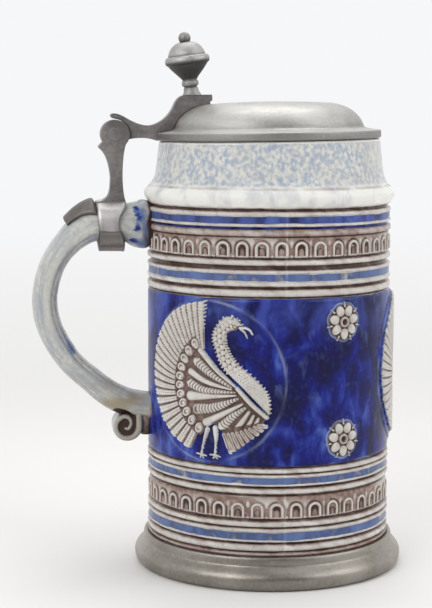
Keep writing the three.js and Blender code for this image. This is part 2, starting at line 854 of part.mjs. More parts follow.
// Assembly
const mug = new THREE.Group();
mug.add(finish("stoneware_body", stonewareBody(), blueGlaze));
mug.add(finish("stoneware_handle", stonewareHandle(), paleGlaze));
for (const [side, angle] of Object.entries(medallionAngles)) {
  mug.add(finish(`bird_medallion_${side}`, medallion(angle), paleGlaze));
}
for (const [side, angle] of Object.entries(rosetteAngles)) {
  mug.add(finish(`rosette_upper_${side}`, rosette(angle, panelTop - rosetteInset), paleGlaze));
  mug.add(finish(`rosette_lower_${side}`, rosette(angle, panelFoot + rosetteInset), paleGlaze));
}
mug.add(finish("foot_ring", footRing(), pewter));
mug.add(finish("handle_saddle", handleSaddle(), pewter));
mug.add(finish("handle_strap", handleStrap(), darkPewter));
mug.add(finish("handle_tang", handleTang(), darkPewter));
mug.add(finish("hinge_post", hingePost(), darkPewter));
mug.add(finish("hinge_pin", hingePin(), darkPewter));
mug.add(finish("pin_cap_right", pinCap(-1), darkPewter));
mug.add(finish("pin_cap_left", pinCap(1), darkPewter));

const lidGroup = new THREE.Group();
lidGroup.applyMatrix4(hingeFrame());
lidGroup.add(finish("lid", lidShell(), pewter));
lidGroup.add(finish("lid_lever", lidLever(), darkPewter));
lidGroup.add(finish("thumb_knob", thumbKnob(), pewter));
mug.add(lidGroup);

export default mug;
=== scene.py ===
# Dresses a lidded beer mug: salt-glazed stoneware with relief, and pewter lid, hinge, band and foot ring.
# Sizes of the mug are in millimetres, with +Z up and the handle along -X, and become metres in the meshes.
import json
import math

import bmesh
import bpy
import numpy as np
from mathutils import Matrix, Vector

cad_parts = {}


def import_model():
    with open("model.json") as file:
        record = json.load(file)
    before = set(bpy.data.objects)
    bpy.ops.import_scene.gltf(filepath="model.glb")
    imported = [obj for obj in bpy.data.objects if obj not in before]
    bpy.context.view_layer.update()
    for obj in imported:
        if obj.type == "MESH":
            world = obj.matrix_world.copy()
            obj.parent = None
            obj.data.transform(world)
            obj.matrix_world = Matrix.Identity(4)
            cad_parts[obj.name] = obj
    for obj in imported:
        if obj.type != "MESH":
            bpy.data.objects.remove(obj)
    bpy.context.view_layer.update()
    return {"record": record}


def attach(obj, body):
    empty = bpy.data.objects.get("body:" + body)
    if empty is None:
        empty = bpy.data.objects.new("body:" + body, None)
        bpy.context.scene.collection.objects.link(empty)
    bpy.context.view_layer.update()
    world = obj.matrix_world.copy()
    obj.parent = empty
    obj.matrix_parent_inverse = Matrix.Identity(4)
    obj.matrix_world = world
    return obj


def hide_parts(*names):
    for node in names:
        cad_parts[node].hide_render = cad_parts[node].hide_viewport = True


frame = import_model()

MM = 0.001
FIT_GAP = 0.3  # between pieces that touch on the real mug

# Body of each node, as in the record
BODIES = frame["record"]["behaviour"]["bodies"]
BODY_OF = {node: body for body, nodes in BODIES.items() for node in nodes}

# Steps round each kind of piece
WALL_SEGMENTS = 360
RING_SEGMENTS = 240
KNOB_SEGMENTS = 112
BAR_SEGMENTS = 72
CORE_SEGMENTS = 48
HANDLE_SEGMENTS = 72
ROLL_SEGMENTS = 28

# Wall of the body, as in the solids
PANEL_RADIUS = 52.3
BAND_RADIUS = 52.0
RING_RADIUS = 52.5
GROOVE_RADIUS = 50.9
FRIEZE_RADIUS = 51.6
SEAM_RADIUS = 51.65  # where one course meets the next
FOOT_RADIUS = 51.6
BEAD_RADIUS = 53.9
NECK_FOOT_RADIUS = 49.6
RIM_RADIUS = 47.4
SHOULDER_HEIGHT = 13.9
PANEL_HEIGHT = 69.3
BEAD_HEIGHT = 8.4
NECK_HEIGHT = 18.5
INSIDE_RADIUS = 46.0
NECK_WALL = 6.2
RIM_WALL = 4.2
FLOOR_THICKNESS = 9.0
MOULD_SEAMS = (-math.pi / 2, math.pi / 2)
MOULD_SEAM_WIDTH = 0.45

# Courses from the foot ring up to the panel, and from the panel up to the bead: kind, height and colour
LOWER_COURSES = [
    ("ring", 1.3, "tan"), ("groove", 0.6, "brown"), ("ring", 2.8, "cream"), ("groove", 1.0, "brown"),
    ("ring", 0.8, "cream"), ("band", 3.3, "sky"), ("ring", 1.6, "cream"), ("groove", 0.6, "brown"),
    ("ring", 2.3, "cream"), ("groove", 1.3, "brown"), ("frieze", 8.9, "mauve"), ("groove", 1.3, "brown"),
    ("ring", 2.3, "cream"), ("groove", 1.0, "brown"), ("ring", 0.8, "cream"), ("band", 2.8, "sky"),
    ("ring", 1.3, "cream"), ("groove", 0.4, "brown"), ("ring", 2.1, "cream"), ("groove", 0.6, "brown"),
]
UPPER_COURSES = [
    ("groove", 0.7, "brown"), ("ring", 2.9, "cream"), ("groove", 1.2, "brown"), ("ring", 2.1, "cream"),
    ("band", 3.1, "sky"), ("ring", 1.5, "cream"), ("groove", 1.9, "brown"), ("ring", 2.3, "cream"),
    ("groove", 1.0, "brown"), ("frieze", 7.8, "mauve"), ("groove", 0.7, "brown"), ("ring", 2.7, "tan"),
    ("groove", 1.1, "navy"), ("ring", 1.2, "cream"), ("band", 3.0, "blue"), ("ring", 1.9, "cream"),
    ("groove", 1.2, "brown"),
]
COURSE_PITCH = 0.26
# Cobalt and iron in the glaze of each colour name
GLAZES = {
    "cream": (0.0, 0.14),
    "tan": (0.0, 0.36),
    "mauve": (0.0, 0.6),
    "brown": (0.0, 0.92),
    "blue": (0.83, 0.0),
    "sky": (0.72, 0.0),
    "navy": (1.0, 0.9),
}
# Iron and spots of the glaze inside the mug
INSIDE_GLAZE = {"iron_and_shade": 0.1, "mottle": 0.08}

# Arcades on the friezes
ARCH_COUNT = 40
ARCH_WIDTH = 5.6
ARCH_HEIGHT = 5.9
ARCH_LINE = 1.15
ARCH_RELIEF = 0.75
ARCH_FOOT = 0.55
ARCH_TONGUE = 1.2
ARCH_SEGMENTS = 24
FRIEZE_ROWS = 36
FRIEZE_OVERLAP = 0.25  # over the courses above and below
FRIEZE_DEPTH = 1.2  # of its back behind the ground
LOWER_ARCH_PHASE = 5.2  # degrees
UPPER_ARCH_PHASE = 6.8

# Reliefs on the panel
MEDALLION_ANGLES = {"front": 0.0, "right": -126.5, "left": 126.5}
MEDALLION_RADIUS = 33.2
ROSETTE_ANGLES = {"right": -62.0, "left": 62.0}
ROSETTE_RADIUS = 7.8
ROSETTE_INSET = 10.3
PETALS = 7
SEPAL_REACH = 8.5
BACK_RINGS = 14
BACK_DEPTH = 1.0  # behind the face of the panel

# Handle: distance out from the panel, thickness and height over the lower end, as in the solids
HANDLE_FOOT = 67.5
HANDLE_ROUTE = [
    (-3.3, 22, 80.1), (4.2, 21.2, 80.1), (10.1, 17, 80.7), (15.7, 15.8, 80.5), (22.9, 16, 80.3),
    (30, 13.8, 76.5), (36.1, 12.1, 70.5), (40.9, 11.4, 63), (43.7, 11.5, 54.3), (44.4, 11.4, 44.7),
    (42.5, 11.5, 36.1), (38.7, 11.4, 28.1), (32.6, 11, 19.7), (24.7, 11.2, 12.6), (17, 12, 6.6),
    (8.9, 12.6, 2.5), (-2.3, 14, 0),
]
HANDLE_POINTS = np.array([(-PANEL_RADIUS - out, thick, HANDLE_FOOT + up) for out, thick, up in HANDLE_ROUTE])
HANDLE_WIDTH_TOP = 20.8
HANDLE_WIDTH_LOW = 17.8
HANDLE_LENGTH = 190.0
ROLL_CENTRE = (-62.2, 60.7)
ROLL_RADIUS = 5.3
ROLL_STRIP = (3.4, 1.9)
ROLL_TURNS = 1.4
ROLL_LEAD = 7.0  # height over which the strip comes down before it turns
# How far from the roll's middle its shadow reaches on the handle, at some bearings in radians
SHADOW_BEARINGS = [0.95, 1.37, 1.74, 2.09, 2.33]
SHADOW_REACHES = [5.0, 6.2, 7.4, 9.0, 9.3]
# Blue blots on the upper end: x, z, half width, half height
STUB_BLOTS = [
    (-58.3, 155.2, 1.7, 2.4), (-56.9, 151.4, 1.6, 2.6), (-57.6, 146.4, 2.0, 1.8),
    (-59.0, 140.8, 3.0, 1.6), (-55.4, 156.6, 2.2, 1.2),
]

# Band on the handle
BAND_NEAR = -63.0
BAND_FAR = -74.0
BAND_HALF_ANGLE = 104.5
BAND_PINCH = 3.0
BAND_PLATE = 1.5
TANG_TIP = -83.4  # middle of the handle under the tip of the tang

# Hinge and lid
PIN = (-66.5, 185.8)
SEAT_DROP = 3.4
SEAT_SLOPE = math.radians(0.95)
KNUCKLE_RADIUS = 6.1
MIDDLE_KNUCKLE = 4.8
OUTER_KNUCKLE = 4.1
TURN_GAP = 0.3
PIN_RADIUS = 2.2
CAP_RADIUS = 2.9
CAP_THICKNESS = 0.9
LID_REACH = 66.0  # from the pin to the middle of the lid
FLANGE_RADIUS = 48.4
FLANGE_THICKNESS = 3.4
FLANGE_RISE = 1.4
DOME_FOOT = 41.0
DOME_SHOULDER = 27.0
DOME_SHOULDER_RISE = 15.1
DOME_HEIGHT = 16.0
LID_WALL = 1.8
LEVER_WIDTH = 9.0
PAD_RISE = 3.25
KNOB_LEAN = math.radians(6.4)
KNOB_RADIUS = 9.7
KNOB_INSET = 8.2  # from the foot of the dome towards its middle

# Heights and places that follow
PANEL_FOOT = SHOULDER_HEIGHT + sum(height for _, height, _ in LOWER_COURSES)
PANEL_TOP = PANEL_FOOT + PANEL_HEIGHT
PANEL_MIDDLE = (PANEL_FOOT + PANEL_TOP) / 2
ROSETTE_LEVELS = {"upper": PANEL_TOP - ROSETTE_INSET, "lower": PANEL_FOOT + ROSETTE_INSET}
BEAD_FOOT = PANEL_TOP + sum(height for _, height, _ in UPPER_COURSES)
BEAD_TOP = BEAD_FOOT + BEAD_HEIGHT
RIM_HEIGHT = BEAD_TOP + NECK_HEIGHT
LID_UNDER = FIT_GAP - SEAT_DROP
FLANGE_TOP = LID_UNDER + FLANGE_THICKNESS
PAD_TOP = LID_UNDER + DOME_HEIGHT + PAD_RISE
PIN_PLACE = Matrix.Translation((PIN[0], 0, PIN[1]))
LID_PLACE = PIN_PLACE @ Matrix.Rotation(-SEAT_SLOPE, 4, "Y")
BARREL_HALF = MIDDLE_KNUCKLE / 2 + TURN_GAP + OUTER_KNUCKLE


# Shapes of curves
def smoothstep(low, high, x):
    """From 0 at low to 1 at high, which may also be the smaller one."""
    t = np.clip((x - low) / (high - low), 0, 1)
    return t * t * (3 - 2 * t)


def bell(x, width):
    """1 where x is 0, and fading to both sides within about twice a width."""
    return np.exp(-((x / width) ** 2))


def dome(d):
    """1 where d is 0, and down to 0 where it is 1, like half a circle."""
    return np.sqrt(np.clip(1 - d * d, 0, 1))


def turn_angles(count):
    """Angles at even steps all the way round."""
    return np.arange(count) * 2 * np.pi / count


def wrapped(angle):
    """The same angle between half a turn back and half a turn on."""
    return np.angle(np.exp(1j * angle))


def wobble(angle, z, scale, seed):
    """A smooth unevenness, between about -1 and 1, that closes on itself round the body."""
    value = 0
    for i in range(1, 6):
        turns = round(scale * i * 1.7) + i
        phase = math.sin(seed * 12.9 + i * 4.1) * 9
        value = value + np.sin(turns * angle + z * (0.11 * i + 0.05 * scale) + phase) / i
    return value / 2.2


def rounded(points, radius, steps=4):
    """An open outline with its inner corners rounded off, over at most a radius on either side."""
    points = [Vector(p) for p in points]
    out = [points[0]]
    for before, here, after in zip(points, points[1:], points[2:]):
        start = here + (before - here).normalized() * min(radius, (before - here).length / 2)
        end = here + (after - here).normalized() * min(radius, (after - here).length / 2)
        for t in np.linspace(0, 1, steps + 1):
            out.append(start * (1 - t) ** 2 + here * 2 * t * (1 - t) + end * t * t)
    out.append(points[-1])
    return [tuple(p) for p in out]


def bezier(points, steps):
    """Points along one Bezier curve of any degree."""
    found = []
    n = len(points) - 1
    for t in np.linspace(0, 1, steps + 1):
        weights = [math.comb(n, k) * (1 - t) ** (n - k) * t**k for k in range(n + 1)]
        found.append(tuple(sum(w * p[axis] for w, p in zip(weights, points)) for axis in range(2)))
    return found


def curve_on(outline, points, steps):
    """Carries an outline on from its last point by a Bezier curve."""
    outline += bezier([outline[-1], *points], steps)[1:]


def arc(radius, degrees, centre=0.0):
    """Points on a circle whose middle is on the upright axis."""
    angles = [math.radians(a) for a in degrees]
    return [(radius * math.cos(a), centre + radius * math.sin(a)) for a in angles]


def curve_point(points, share, power):
    """A point of a Catmull-Rom curve whose steps are a power of the distances between its points."""
    points = np.array([2 * points[0] - points[1], *points, 2 * points[-1] - points[-2]])
    spans = len(points) - 3
    s = min(max(share, 0) * spans, spans - 1e-9)
    k, t = int(s), s - int(s)
    p0, p1, p2, p3 = points[k : k + 4]
    d0, d1, d2 = (np.linalg.norm(b - a) ** power for a, b in ((p0, p1), (p1, p2), (p2, p3)))
    m1 = ((p1 - p0) / d0 - (p2 - p0) / (d0 + d1) + (p2 - p1) / d1) * d1
    m2 = ((p2 - p1) / d1 - (p3 - p1) / (d1 + d2) + (p3 - p2) / d2) * d1
    return p1 + m1 * t + (3 * (p2 - p1) - 2 * m1 - m2) * t**2 + (2 * (p1 - p2) + m1 + m2) * t**3


def spline(points, count):
    """Points along a smooth curve through a few."""
    points = np.array(points, float)
    return [tuple(curve_point(points, i / count, 0)) for i in range(count + 1)]


# Meshes
def new_piece(name, node, points, faces, material, masks=None, place=Matrix()):
    """A mesh from points in millimetres that stands in for a node, with its masks as attributes."""
    shape = np.shape(points)[:-1]
    turn, shift = np.array(place)[:3, :3], np.array(place)[:3, 3]
    mesh = bpy.data.meshes.new(name)
    mesh.from_pydata((np.reshape(points, (-1, 3)) @ turn.T + shift) * MM, [], faces)
    mesh.validate()
    mesh.shade_smooth()
    for mask, values in (masks or {}).items():
        attribute = mesh.attributes.new(mask, "FLOAT", "POINT")
        attribute.data.foreach_set("value", np.broadcast_to(values, shape).astype(np.float32).ravel())
    mesh.materials.append(material)
    piece = bpy.data.objects.new(name, mesh)
    bpy.context.scene.collection.objects.link(piece)
    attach(piece, BODY_OF[node])
    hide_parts(node)
    return piece


def tube_faces(rows, columns, closed=False):
    """Quads over rows of points that each close on themselves; the last row can join the first."""
    row, column = np.meshgrid(np.arange(rows if closed else rows - 1), np.arange(columns), indexing="ij")
    row_on, column_on = (row + 1) % rows, (column + 1) % columns
    corners = ((row, column), (row, column_on), (row_on, column_on), (row_on, column))
    return np.stack([r * columns + c for r, c in corners], -1).reshape(-1, 4)


def tube_piece(name, node, points, material, masks):
    """Rows of points along a route, joined, with a face over each end."""
    rows, columns = points.shape[:2]
    end = np.arange(columns)
    faces = [*tube_faces(rows, columns), end[::-1], end + (rows - 1) * columns]
    new_piece(name, node, points, faces, material, masks)


def turned_points(profile, segments):
    """Rows of points round the Z axis, from pairs of radius and height that run anticlockwise."""
    radius, height = np.array(profile, float).T[:, :, None]
    angle = turn_angles(segments)
    return np.stack(np.broadcast_arrays(radius * np.cos(angle), radius * np.sin(angle), height), -1)


def turned_piece(name, node, profile, segments, material, place=Matrix(), masks=None):
    """A turned solid whose profile starts and ends on the axis or closes on itself."""
    closed = math.dist(profile[0], profile[-1]) < 1e-6
    points = turned_points(profile[:-1] if closed else profile, segments)
    piece = new_piece(name, node, points, tube_faces(len(points), segments, closed), material, masks, place)
    weld(piece)
    return piece


def weld(piece, distance=0.002):
    """Joins the points that fall together, such as those of a turned piece on its axis."""
    mesh = bmesh.new()
    mesh.from_mesh(piece.data)
    bmesh.ops.remove_doubles(mesh, verts=mesh.verts, dist=distance * MM)
    bmesh.ops.recalc_face_normals(mesh, faces=mesh.faces)
    mesh.to_mesh(piece.data)
    mesh.free()


def keep_corners(piece, degrees=35):
    """Smooth shading that keeps the sharp corners."""
    mesh = bmesh.new()
    mesh.from_mesh(piece.data)
    for edge in mesh.edges:
        if len(edge.link_faces) == 2:
            edge.smooth = edge.calc_face_angle(0) < math.radians(degrees)
    mesh.to_mesh(piece.data)
    mesh.free()


def slab_piece(name, node, outline, width, material, place, bevel=0.5, shape=None):
    """An outline in X and Z given a width along Y, with rounded edges."""
    slab = bmesh.new()
    face = slab.faces.new([slab.verts.new((x, -width / 2, z)) for x, z in outline])
    grown = bmesh.ops.extrude_face_region(slab, geom=[face])
    moved = [v for v in grown["geom"] if isinstance(v, bmesh.types.BMVert)]
    bmesh.ops.translate(slab, verts=moved, vec=(0, width, 0))
    bmesh.ops.recalc_face_normals(slab, faces=slab.faces)
    rims = [e for e in slab.edges if abs(e.verts[0].co.y - e.verts[1].co.y) < 1e-6]
    bmesh.ops.bevel(
        slab, geom=rims, offset=bevel, segments=3, profile=0.5, affect="EDGES", clamp_overlap=True
    )
    points = [shape(v.co) if shape else v.co[:] for v in slab.verts]
    slab.verts.index_update()
    faces = [[v.index for v in f.verts] for f in slab.faces]
    slab.free()
    keep_corners(new_piece(name, node, points, faces, material, place=place))


# Profile of the body's outside: rows of height, radius, cobalt, and iron with painted shade on the edges of
# the rings
def course_rows(courses, foot):
    rows = []
    z = foot
    for kind, height, glaze in courses:
        steps = max(3, round(height / COURSE_PITCH))
        cobalt, iron_and_shade = GLAZES[glaze]
        for i in range(steps):
            f = (i + 0.5) / steps
            bulge = dome(2 * f - 1) ** 0.8
            tone_and_shade = iron_and_shade
            if kind == "ring":
                radius = SEAM_RADIUS + (RING_RADIUS - SEAM_RADIUS) * bulge
                # Painted shade: each ring darker towards its edges, where it curves down into the grooves
                tone_and_shade = iron_and_shade + 0.45 * (1 - bulge) ** 0.7
            elif kind == "groove":
                radius = SEAM_RADIUS - (SEAM_RADIUS - GROOVE_RADIUS) * bulge
            else:
                radius = BAND_RADIUS if kind == "band" else FRIEZE_RADIUS
            rows.append((z + f * height, radius, cobalt, tone_and_shade))
        z += height
    return rows


def neck_radius(z):
    return NECK_FOOT_RADIUS + (RIM_RADIUS - NECK_FOOT_RADIUS) * (z - BEAD_TOP) / NECK_HEIGHT


def outside_rows():
    rows = [(0, 0, 0, 0.3), (0, FOOT_RADIUS - 1, 0, 0.3), (1, FOOT_RADIUS, 0, 0.3)]
    rows += [(SHOULDER_HEIGHT - 0.4, FOOT_RADIUS, 0, 0.6)]
    rows += course_rows(LOWER_COURSES, SHOULDER_HEIGHT)
    for z in np.linspace(PANEL_FOOT + 0.3, PANEL_TOP - 0.3, 52):
        edge = min(z - PANEL_FOOT, PANEL_TOP - z)
        rows.append((z, PANEL_RADIUS - 0.25 * smoothstep(1.2, 0, edge), 1, 0))
    rows += course_rows(UPPER_COURSES, PANEL_TOP)
    outline = [
        (SEAM_RADIUS, BEAD_FOOT),
        (BEAD_RADIUS - 1.5, BEAD_FOOT + 0.8),
        (BEAD_RADIUS - 0.1, BEAD_FOOT + 3),
        (BEAD_RADIUS + 0.1, BEAD_FOOT + 5),
        (BEAD_RADIUS - 1.2, BEAD_FOOT + 6.9),
        ((BEAD_RADIUS + NECK_FOOT_RADIUS) / 2 - 0.6, BEAD_TOP),
        (neck_radius(BEAD_TOP + 3.2), BEAD_TOP + 3.2),
        (neck_radius(RIM_HEIGHT), RIM_HEIGHT),
    ]
    bead = rounded(outline, 2.2)[:-1]
    for radius, z in bead:
        line = 0.3 * bell(z - BEAD_TOP + 0.6, 0.7) + 0.3 * bell(z - BEAD_FOOT, 0.6)
        rows.append((z, min(radius, BEAD_RADIUS), 0, 0.01 + line))
    for z in np.linspace(bead[-1][1], RIM_HEIGHT - 1.2, 22)[1:]:
        rows.append((z, neck_radius(z), 0, 0.06))
    return rows


def inside_rows():
    """Lip and hollow of the body, from the rim down to the middle of the floor: radius and height."""
    top = RIM_HEIGHT
    edge = neck_radius(top)
    hollow_edge = (edge - RIM_WALL, top - 1.4)
    lip = rounded([(edge, top - 1.2), (edge, top), (edge - RIM_WALL, top), hollow_edge], 1.1)
    hollow = [
        hollow_edge,
        (neck_radius(BEAD_TOP) - NECK_WALL, BEAD_TOP),
        (INSIDE_RADIUS, BEAD_FOOT - 5),
        (INSIDE_RADIUS, FLOOR_THICKNESS),
        (0, FLOOR_THICKNESS),
    ]
    return lip[1:] + rounded(hollow, 6, steps=8)[1:]


def sloped(points):
    """Heights near the rim follow the plane of the seat, because rim and lid slope a little."""
    share = smoothstep(BEAD_TOP - 2, RIM_HEIGHT - 2, points[..., 2])
    points[..., 2] += share * points[..., 0] * math.tan(SEAT_SLOPE)
    return points


def mould_seams(angle):
    """Low ridges on both sides of the body, where the glaze breaks."""
    return sum(bell(wrapped(angle - seam) * PANEL_RADIUS, MOULD_SEAM_WIDTH) for seam in MOULD_SEAMS)


def around(angle, place):
    """Distance along the wall from a place in degrees, in millimetres."""
    return wrapped(angle - math.radians(place)) * PANEL_RADIUS


def panel_halo(angle, z):
    """Pale line in the glaze just outside each relief."""
    halo = np.zeros_like(z)
    for place in MEDALLION_ANGLES.values():
        d = np.hypot(around(angle, place), z - PANEL_MIDDLE) - MEDALLION_RADIUS
        broken = 0.3 + 0.3 * wobble(angle, z, 2.0, 7)
        halo = np.maximum(halo, broken * bell(d - 0.5, 0.4))
    for place in ROSETTE_ANGLES.values():
        for height in ROSETTE_LEVELS.values():
            d = np.hypot(around(angle, place), z - height) - ROSETTE_RADIUS
            halo = np.maximum(halo, 0.08 * bell(d - 1.5, 0.5))
    return halo


def stoneware_body(material):
    outside = np.array(outside_rows(), float)
    count = len(outside)
    points = turned_points([(radius, z) for z, radius in outside[:, :2]] + inside_rows(), WALL_SEGMENTS)
    angle = turn_angles(WALL_SEGMENTS)
    z = points[:count, :, 2].copy()
    wander = 0.16 * wobble(angle, z, 2.0, 3) + 0.08 * wobble(angle, z, 9.0, 5)
    heights, _, cobalts, iron_and_shade_levels = outside[np.argsort(outside[:, 0], kind="stable")].T
    in_panel = smoothstep(PANEL_FOOT, PANEL_FOOT + 2, z) * smoothstep(PANEL_TOP, PANEL_TOP - 2, z)
    seam = mould_seams(angle) * (0.55 + 0.45 * wobble(angle, z, 1.0, 11)) * (1 - 0.75 * in_panel)
    seam *= smoothstep(SHOULDER_HEIGHT, SHOULDER_HEIGHT + 2, z) * smoothstep(BEAD_TOP, BEAD_FOOT, z)
    # Unevenness of the wall, except on the crest of the bead
    radius = outside[:, 1:2]
    uneven = 0.05 * wobble(angle, z, 3.0, 1) * smoothstep(2, 20, z)
    radius = radius + (0.1 * seam + uneven) * (radius < BEAD_RADIUS - 0.2)
    radius = np.minimum(radius, BEAD_RADIUS)
    points[:count, :, 0] = radius * np.cos(angle)
    points[:count, :, 1] = radius * np.sin(angle)
    cobalt = np.interp(z + wander, heights, cobalts) - 0.2 * seam
    iron_and_shade = np.interp(z + 0.7 * wander, heights, iron_and_shade_levels)
    tone_and_shade = 0.1 * wobble(angle, z, 7.0, 6) + 0.07 * wobble(angle, z, 23.0, 9)
    iron_and_shade = np.clip(iron_and_shade + tone_and_shade * (iron_and_shade > 0.08) - 0.2 * seam, 0, 1)
    # Painted shade: darker brown just under the bead
    low = smoothstep(BEAD_FOOT + 2.4, BEAD_FOOT + 0.4, z) * smoothstep(BEAD_FOOT - 0.4, BEAD_FOOT + 0.2, z)
    iron_and_shade = np.maximum(iron_and_shade, 0.26 * low * (0.6 + 0.4 * wobble(angle, z, 4.0, 12)))
    spots = 0.3 * smoothstep(BEAD_FOOT, BEAD_FOOT + 1, z) + 0.7 * smoothstep(BEAD_TOP - 1, BEAD_TOP + 2, z)
    halo = panel_halo(angle, z) * in_panel
    masks = {"cobalt": np.clip(cobalt, 0, 1), "iron_and_shade": iron_and_shade, "mottle": spots, "halo": halo}
    inside = np.ones((len(points) - count, WALL_SEGMENTS))
    masks = {key: np.concatenate([mask, INSIDE_GLAZE.get(key, 0) * inside]) for key, mask in masks.items()}
    faces = tube_faces(len(points), WALL_SEGMENTS)
    weld(new_piece("stoneware_wall", "stoneware_body", sloped(points), faces, material, masks))


# Friezes: a finer strip over each ground, with its arcade
def frieze(name, courses, foot, phase, material):
    kinds = [kind for kind, _, _ in courses]
    foot += sum(height for _, height, _ in courses[: kinds.index("frieze")])
    height = courses[kinds.index("frieze")][1]
    pitch = 2 * np.pi / ARCH_COUNT
    levels = np.linspace(-FRIEZE_OVERLAP, height + FRIEZE_OVERLAP, FRIEZE_ROWS)
    v, a = np.meshgrid(levels, turn_angles(ARCH_SEGMENTS * ARCH_COUNT), indexing="ij")
    # Place in the arch, which is a little wider or narrower than the next
    turn = a - math.radians(phase)
    number = np.round(turn / pitch)
    u = (np.mod(turn + pitch / 2, pitch) - pitch / 2) * FRIEZE_RADIUS
    u = u / (1 + 0.06 * np.sin(number * 2.7 + phase)) + 0.12 * np.sin(number * 5.3)
    t = v - ARCH_FOOT
    rise = ARCH_HEIGHT - ARCH_WIDTH / 2
    middle = ARCH_WIDTH / 2 - ARCH_LINE / 2
    reach = np.where(t > rise, np.hypot(u, t - rise), np.abs(u))
    below = smoothstep(-0.3, 0.2, t)
    ridge = dome(np.abs(reach - middle) / (0.54 * ARCH_LINE)) * below
    tongue = dome(np.hypot(u / ARCH_TONGUE, np.maximum(t - 1.7, 0) / 1.5)) * below
    spandrel = bell(pitch * FRIEZE_RADIUS / 2 - np.abs(u), 0.5) * bell(t - 5.2, 1.0)
    sill = bell(v - 0.35, 0.3)
    lift = ARCH_RELIEF * ridge + 0.3 * tongue + 0.22 * spandrel + 0.2 * sill
    # Painted shade over the iron brown of the ground: darker inside each arch and in a band just outside its
    # line. The frieze is also darker towards its top.
    inside = (reach < middle) & (t > 0)
    near = bell(reach - ARCH_WIDTH / 2 - 0.35, 0.45)
    iron_and_shade = 0.38 + 0.72 * inside + 0.6 * near - 0.5 * tongue - 0.2 * spandrel
    iron_and_shade += 0.35 * smoothstep(height - 1.6, height, v) * (0.5 + 0.5 * wobble(a, v, 1.5, 8))
    iron_and_shade += 0.18 * wobble(a, v, 2.2, 4)
    iron_and_shade = np.where(ridge > 0.02, np.minimum(iron_and_shade, 0.95 - 0.84 * ridge**0.6), iron_and_shade)
    iron_and_shade = iron_and_shade * (1 - 0.6 * sill)
    seam = mould_seams(a)
    edge = np.minimum(v, height - v) + FRIEZE_OVERLAP
    radius = FRIEZE_RADIUS + lift + 0.08 * seam + 0.04 * wobble(a, v, 6.0, 2)
    radius = np.minimum(radius - 0.5 * smoothstep(0.3, 0, edge), RING_RADIUS)
    # The last row and the first again, behind the ground
    rows = [*range(len(v)), -1, 0]
    deep = np.full_like(radius[:2], FRIEZE_RADIUS - FRIEZE_DEPTH)
    radius = np.concatenate([radius, deep])
    iron_and_shade = np.concatenate([iron_and_shade - 0.2 * seam, iron_and_shade[[-1, 0]]])
    points = np.stack([radius * np.cos(a[rows]), radius * np.sin(a[rows]), foot + v[rows]], -1)
    faces = tube_faces(*radius.shape, closed=True)
    new_piece(name, "stoneware_body", points, faces, material, {"iron_and_shade": np.clip(iron_and_shade, 0, 1)})


# Reliefs: functions of a flat drawing, u to the right along the wall and v up, that raise a height map
def sides_of(outline):
    return zip(outline, outline[1:] + outline[:1])


class Relief:
    def __init__(self, u, v):
        self.u, self.v = u, v
        self.height = np.zeros_like(u)
        self.clay = np.zeros_like(u)  # where the figure is, and the blue isn't
        self.dark = np.zeros_like(u)  # painted shade in its recesses and gaps, over some brown of the glaze

    def paint(self, where, **layers):
        """Sets layers in a region."""
        for name, values in layers.items():
            setattr(self, name, np.where(where, values, getattr(self, name)))

    def inside(self, outline):
        """Where the drawing lies within a polygon."""
        inside = np.zeros(self.u.shape, bool)
        for (x0, y0), (x1, y1) in sides_of(outline):
            crosses = (y0 > self.v) != (y1 > self.v)
            slope = (x1 - x0) / ((y1 - y0) or 1e-9)
            inside ^= crosses & (self.u < x0 + (self.v - y0) * slope)
        return inside

    def edge_distance(self, outline):
        """Distance from the outline of a polygon."""
        best = np.full(self.u.shape, 99.0)
        for (x0, y0), (x1, y1) in sides_of(outline):
            du, dv = x1 - x0, y1 - y0
            pu, pv = self.u - x0, self.v - y0
            t = np.clip((pu * du + pv * dv) / max(du * du + dv * dv, 1e-9), 0, 1)
            best = np.minimum(best, np.hypot(pu - t * du, pv - t * dv))
        return best

    def ground(self, inside, height, dark):
        """A sunk ground between raised lines, clay all over and darkened with painted shade."""
        self.height = np.maximum(self.height, height * inside)
        self.clay = np.maximum(self.clay, inside)
        self.dark = np.maximum(self.dark, dark * inside)

    def along(self, line, widths):
        """Distance from a polyline as a share of its half width, the share of its length, and the length."""
        best = np.full(self.u.shape, 9.0)
        where = np.zeros(self.u.shape)
        total = sum(math.dist(a, b) for a, b in zip(line, line[1:]))
        done = 0.0
        for a, b in zip(line, line[1:]):
            du, dv = b[0] - a[0], b[1] - a[1]
            length = math.hypot(du, dv)
            margin = length / 2 + 3
            near = np.abs(self.u - (a[0] + b[0]) / 2) < margin
            near &= np.abs(self.v - (a[1] + b[1]) / 2) < margin
            pu, pv = self.u[near] - a[0], self.v[near] - a[1]
            t = np.clip((pu * du + pv * dv) / length**2, 0, 1)
            share = (done + t * length) / total
            d = np.hypot(pu - t * du, pv - t * dv)
            d /= np.interp(share, np.linspace(0, 1, len(widths)), widths)
            closer = d < best[near]
            where[near] = np.where(closer, share, where[near])
            best[near] = np.where(closer, d, best[near])
            done += length
        return best, where, total

    def stroke(self, line, widths, height, beads=0.0, groove=0.0):
        """A rounded ridge along a polyline, plain, beaded with a pitch, or split by a groove."""
        d, share, total = self.along(line, widths)
        ridge = dome(d)
        if beads:
            swell = np.abs(np.cos(np.pi * (share * total / beads + 0.35 * d)))
            ridge = ridge * (0.62 + 0.38 * swell)
            # Painted shade between the beads
            self.paint(d < 0.96, dark=0.75 * smoothstep(0.6, 0.15, swell) + 0.1)
        if groove:
            ridge = ridge * (1 - 0.6 * bell(d, groove))
        if not beads:
            clean = 1 - 0.88 * smoothstep(0.2, 0.9, ridge)
            self.paint(ridge > 0.05, dark=np.minimum(self.dark, clean))
        self.height = np.maximum(self.height, height * ridge)
        self.clay = np.maximum(self.clay, smoothstep(0.02, 0.25, ridge))


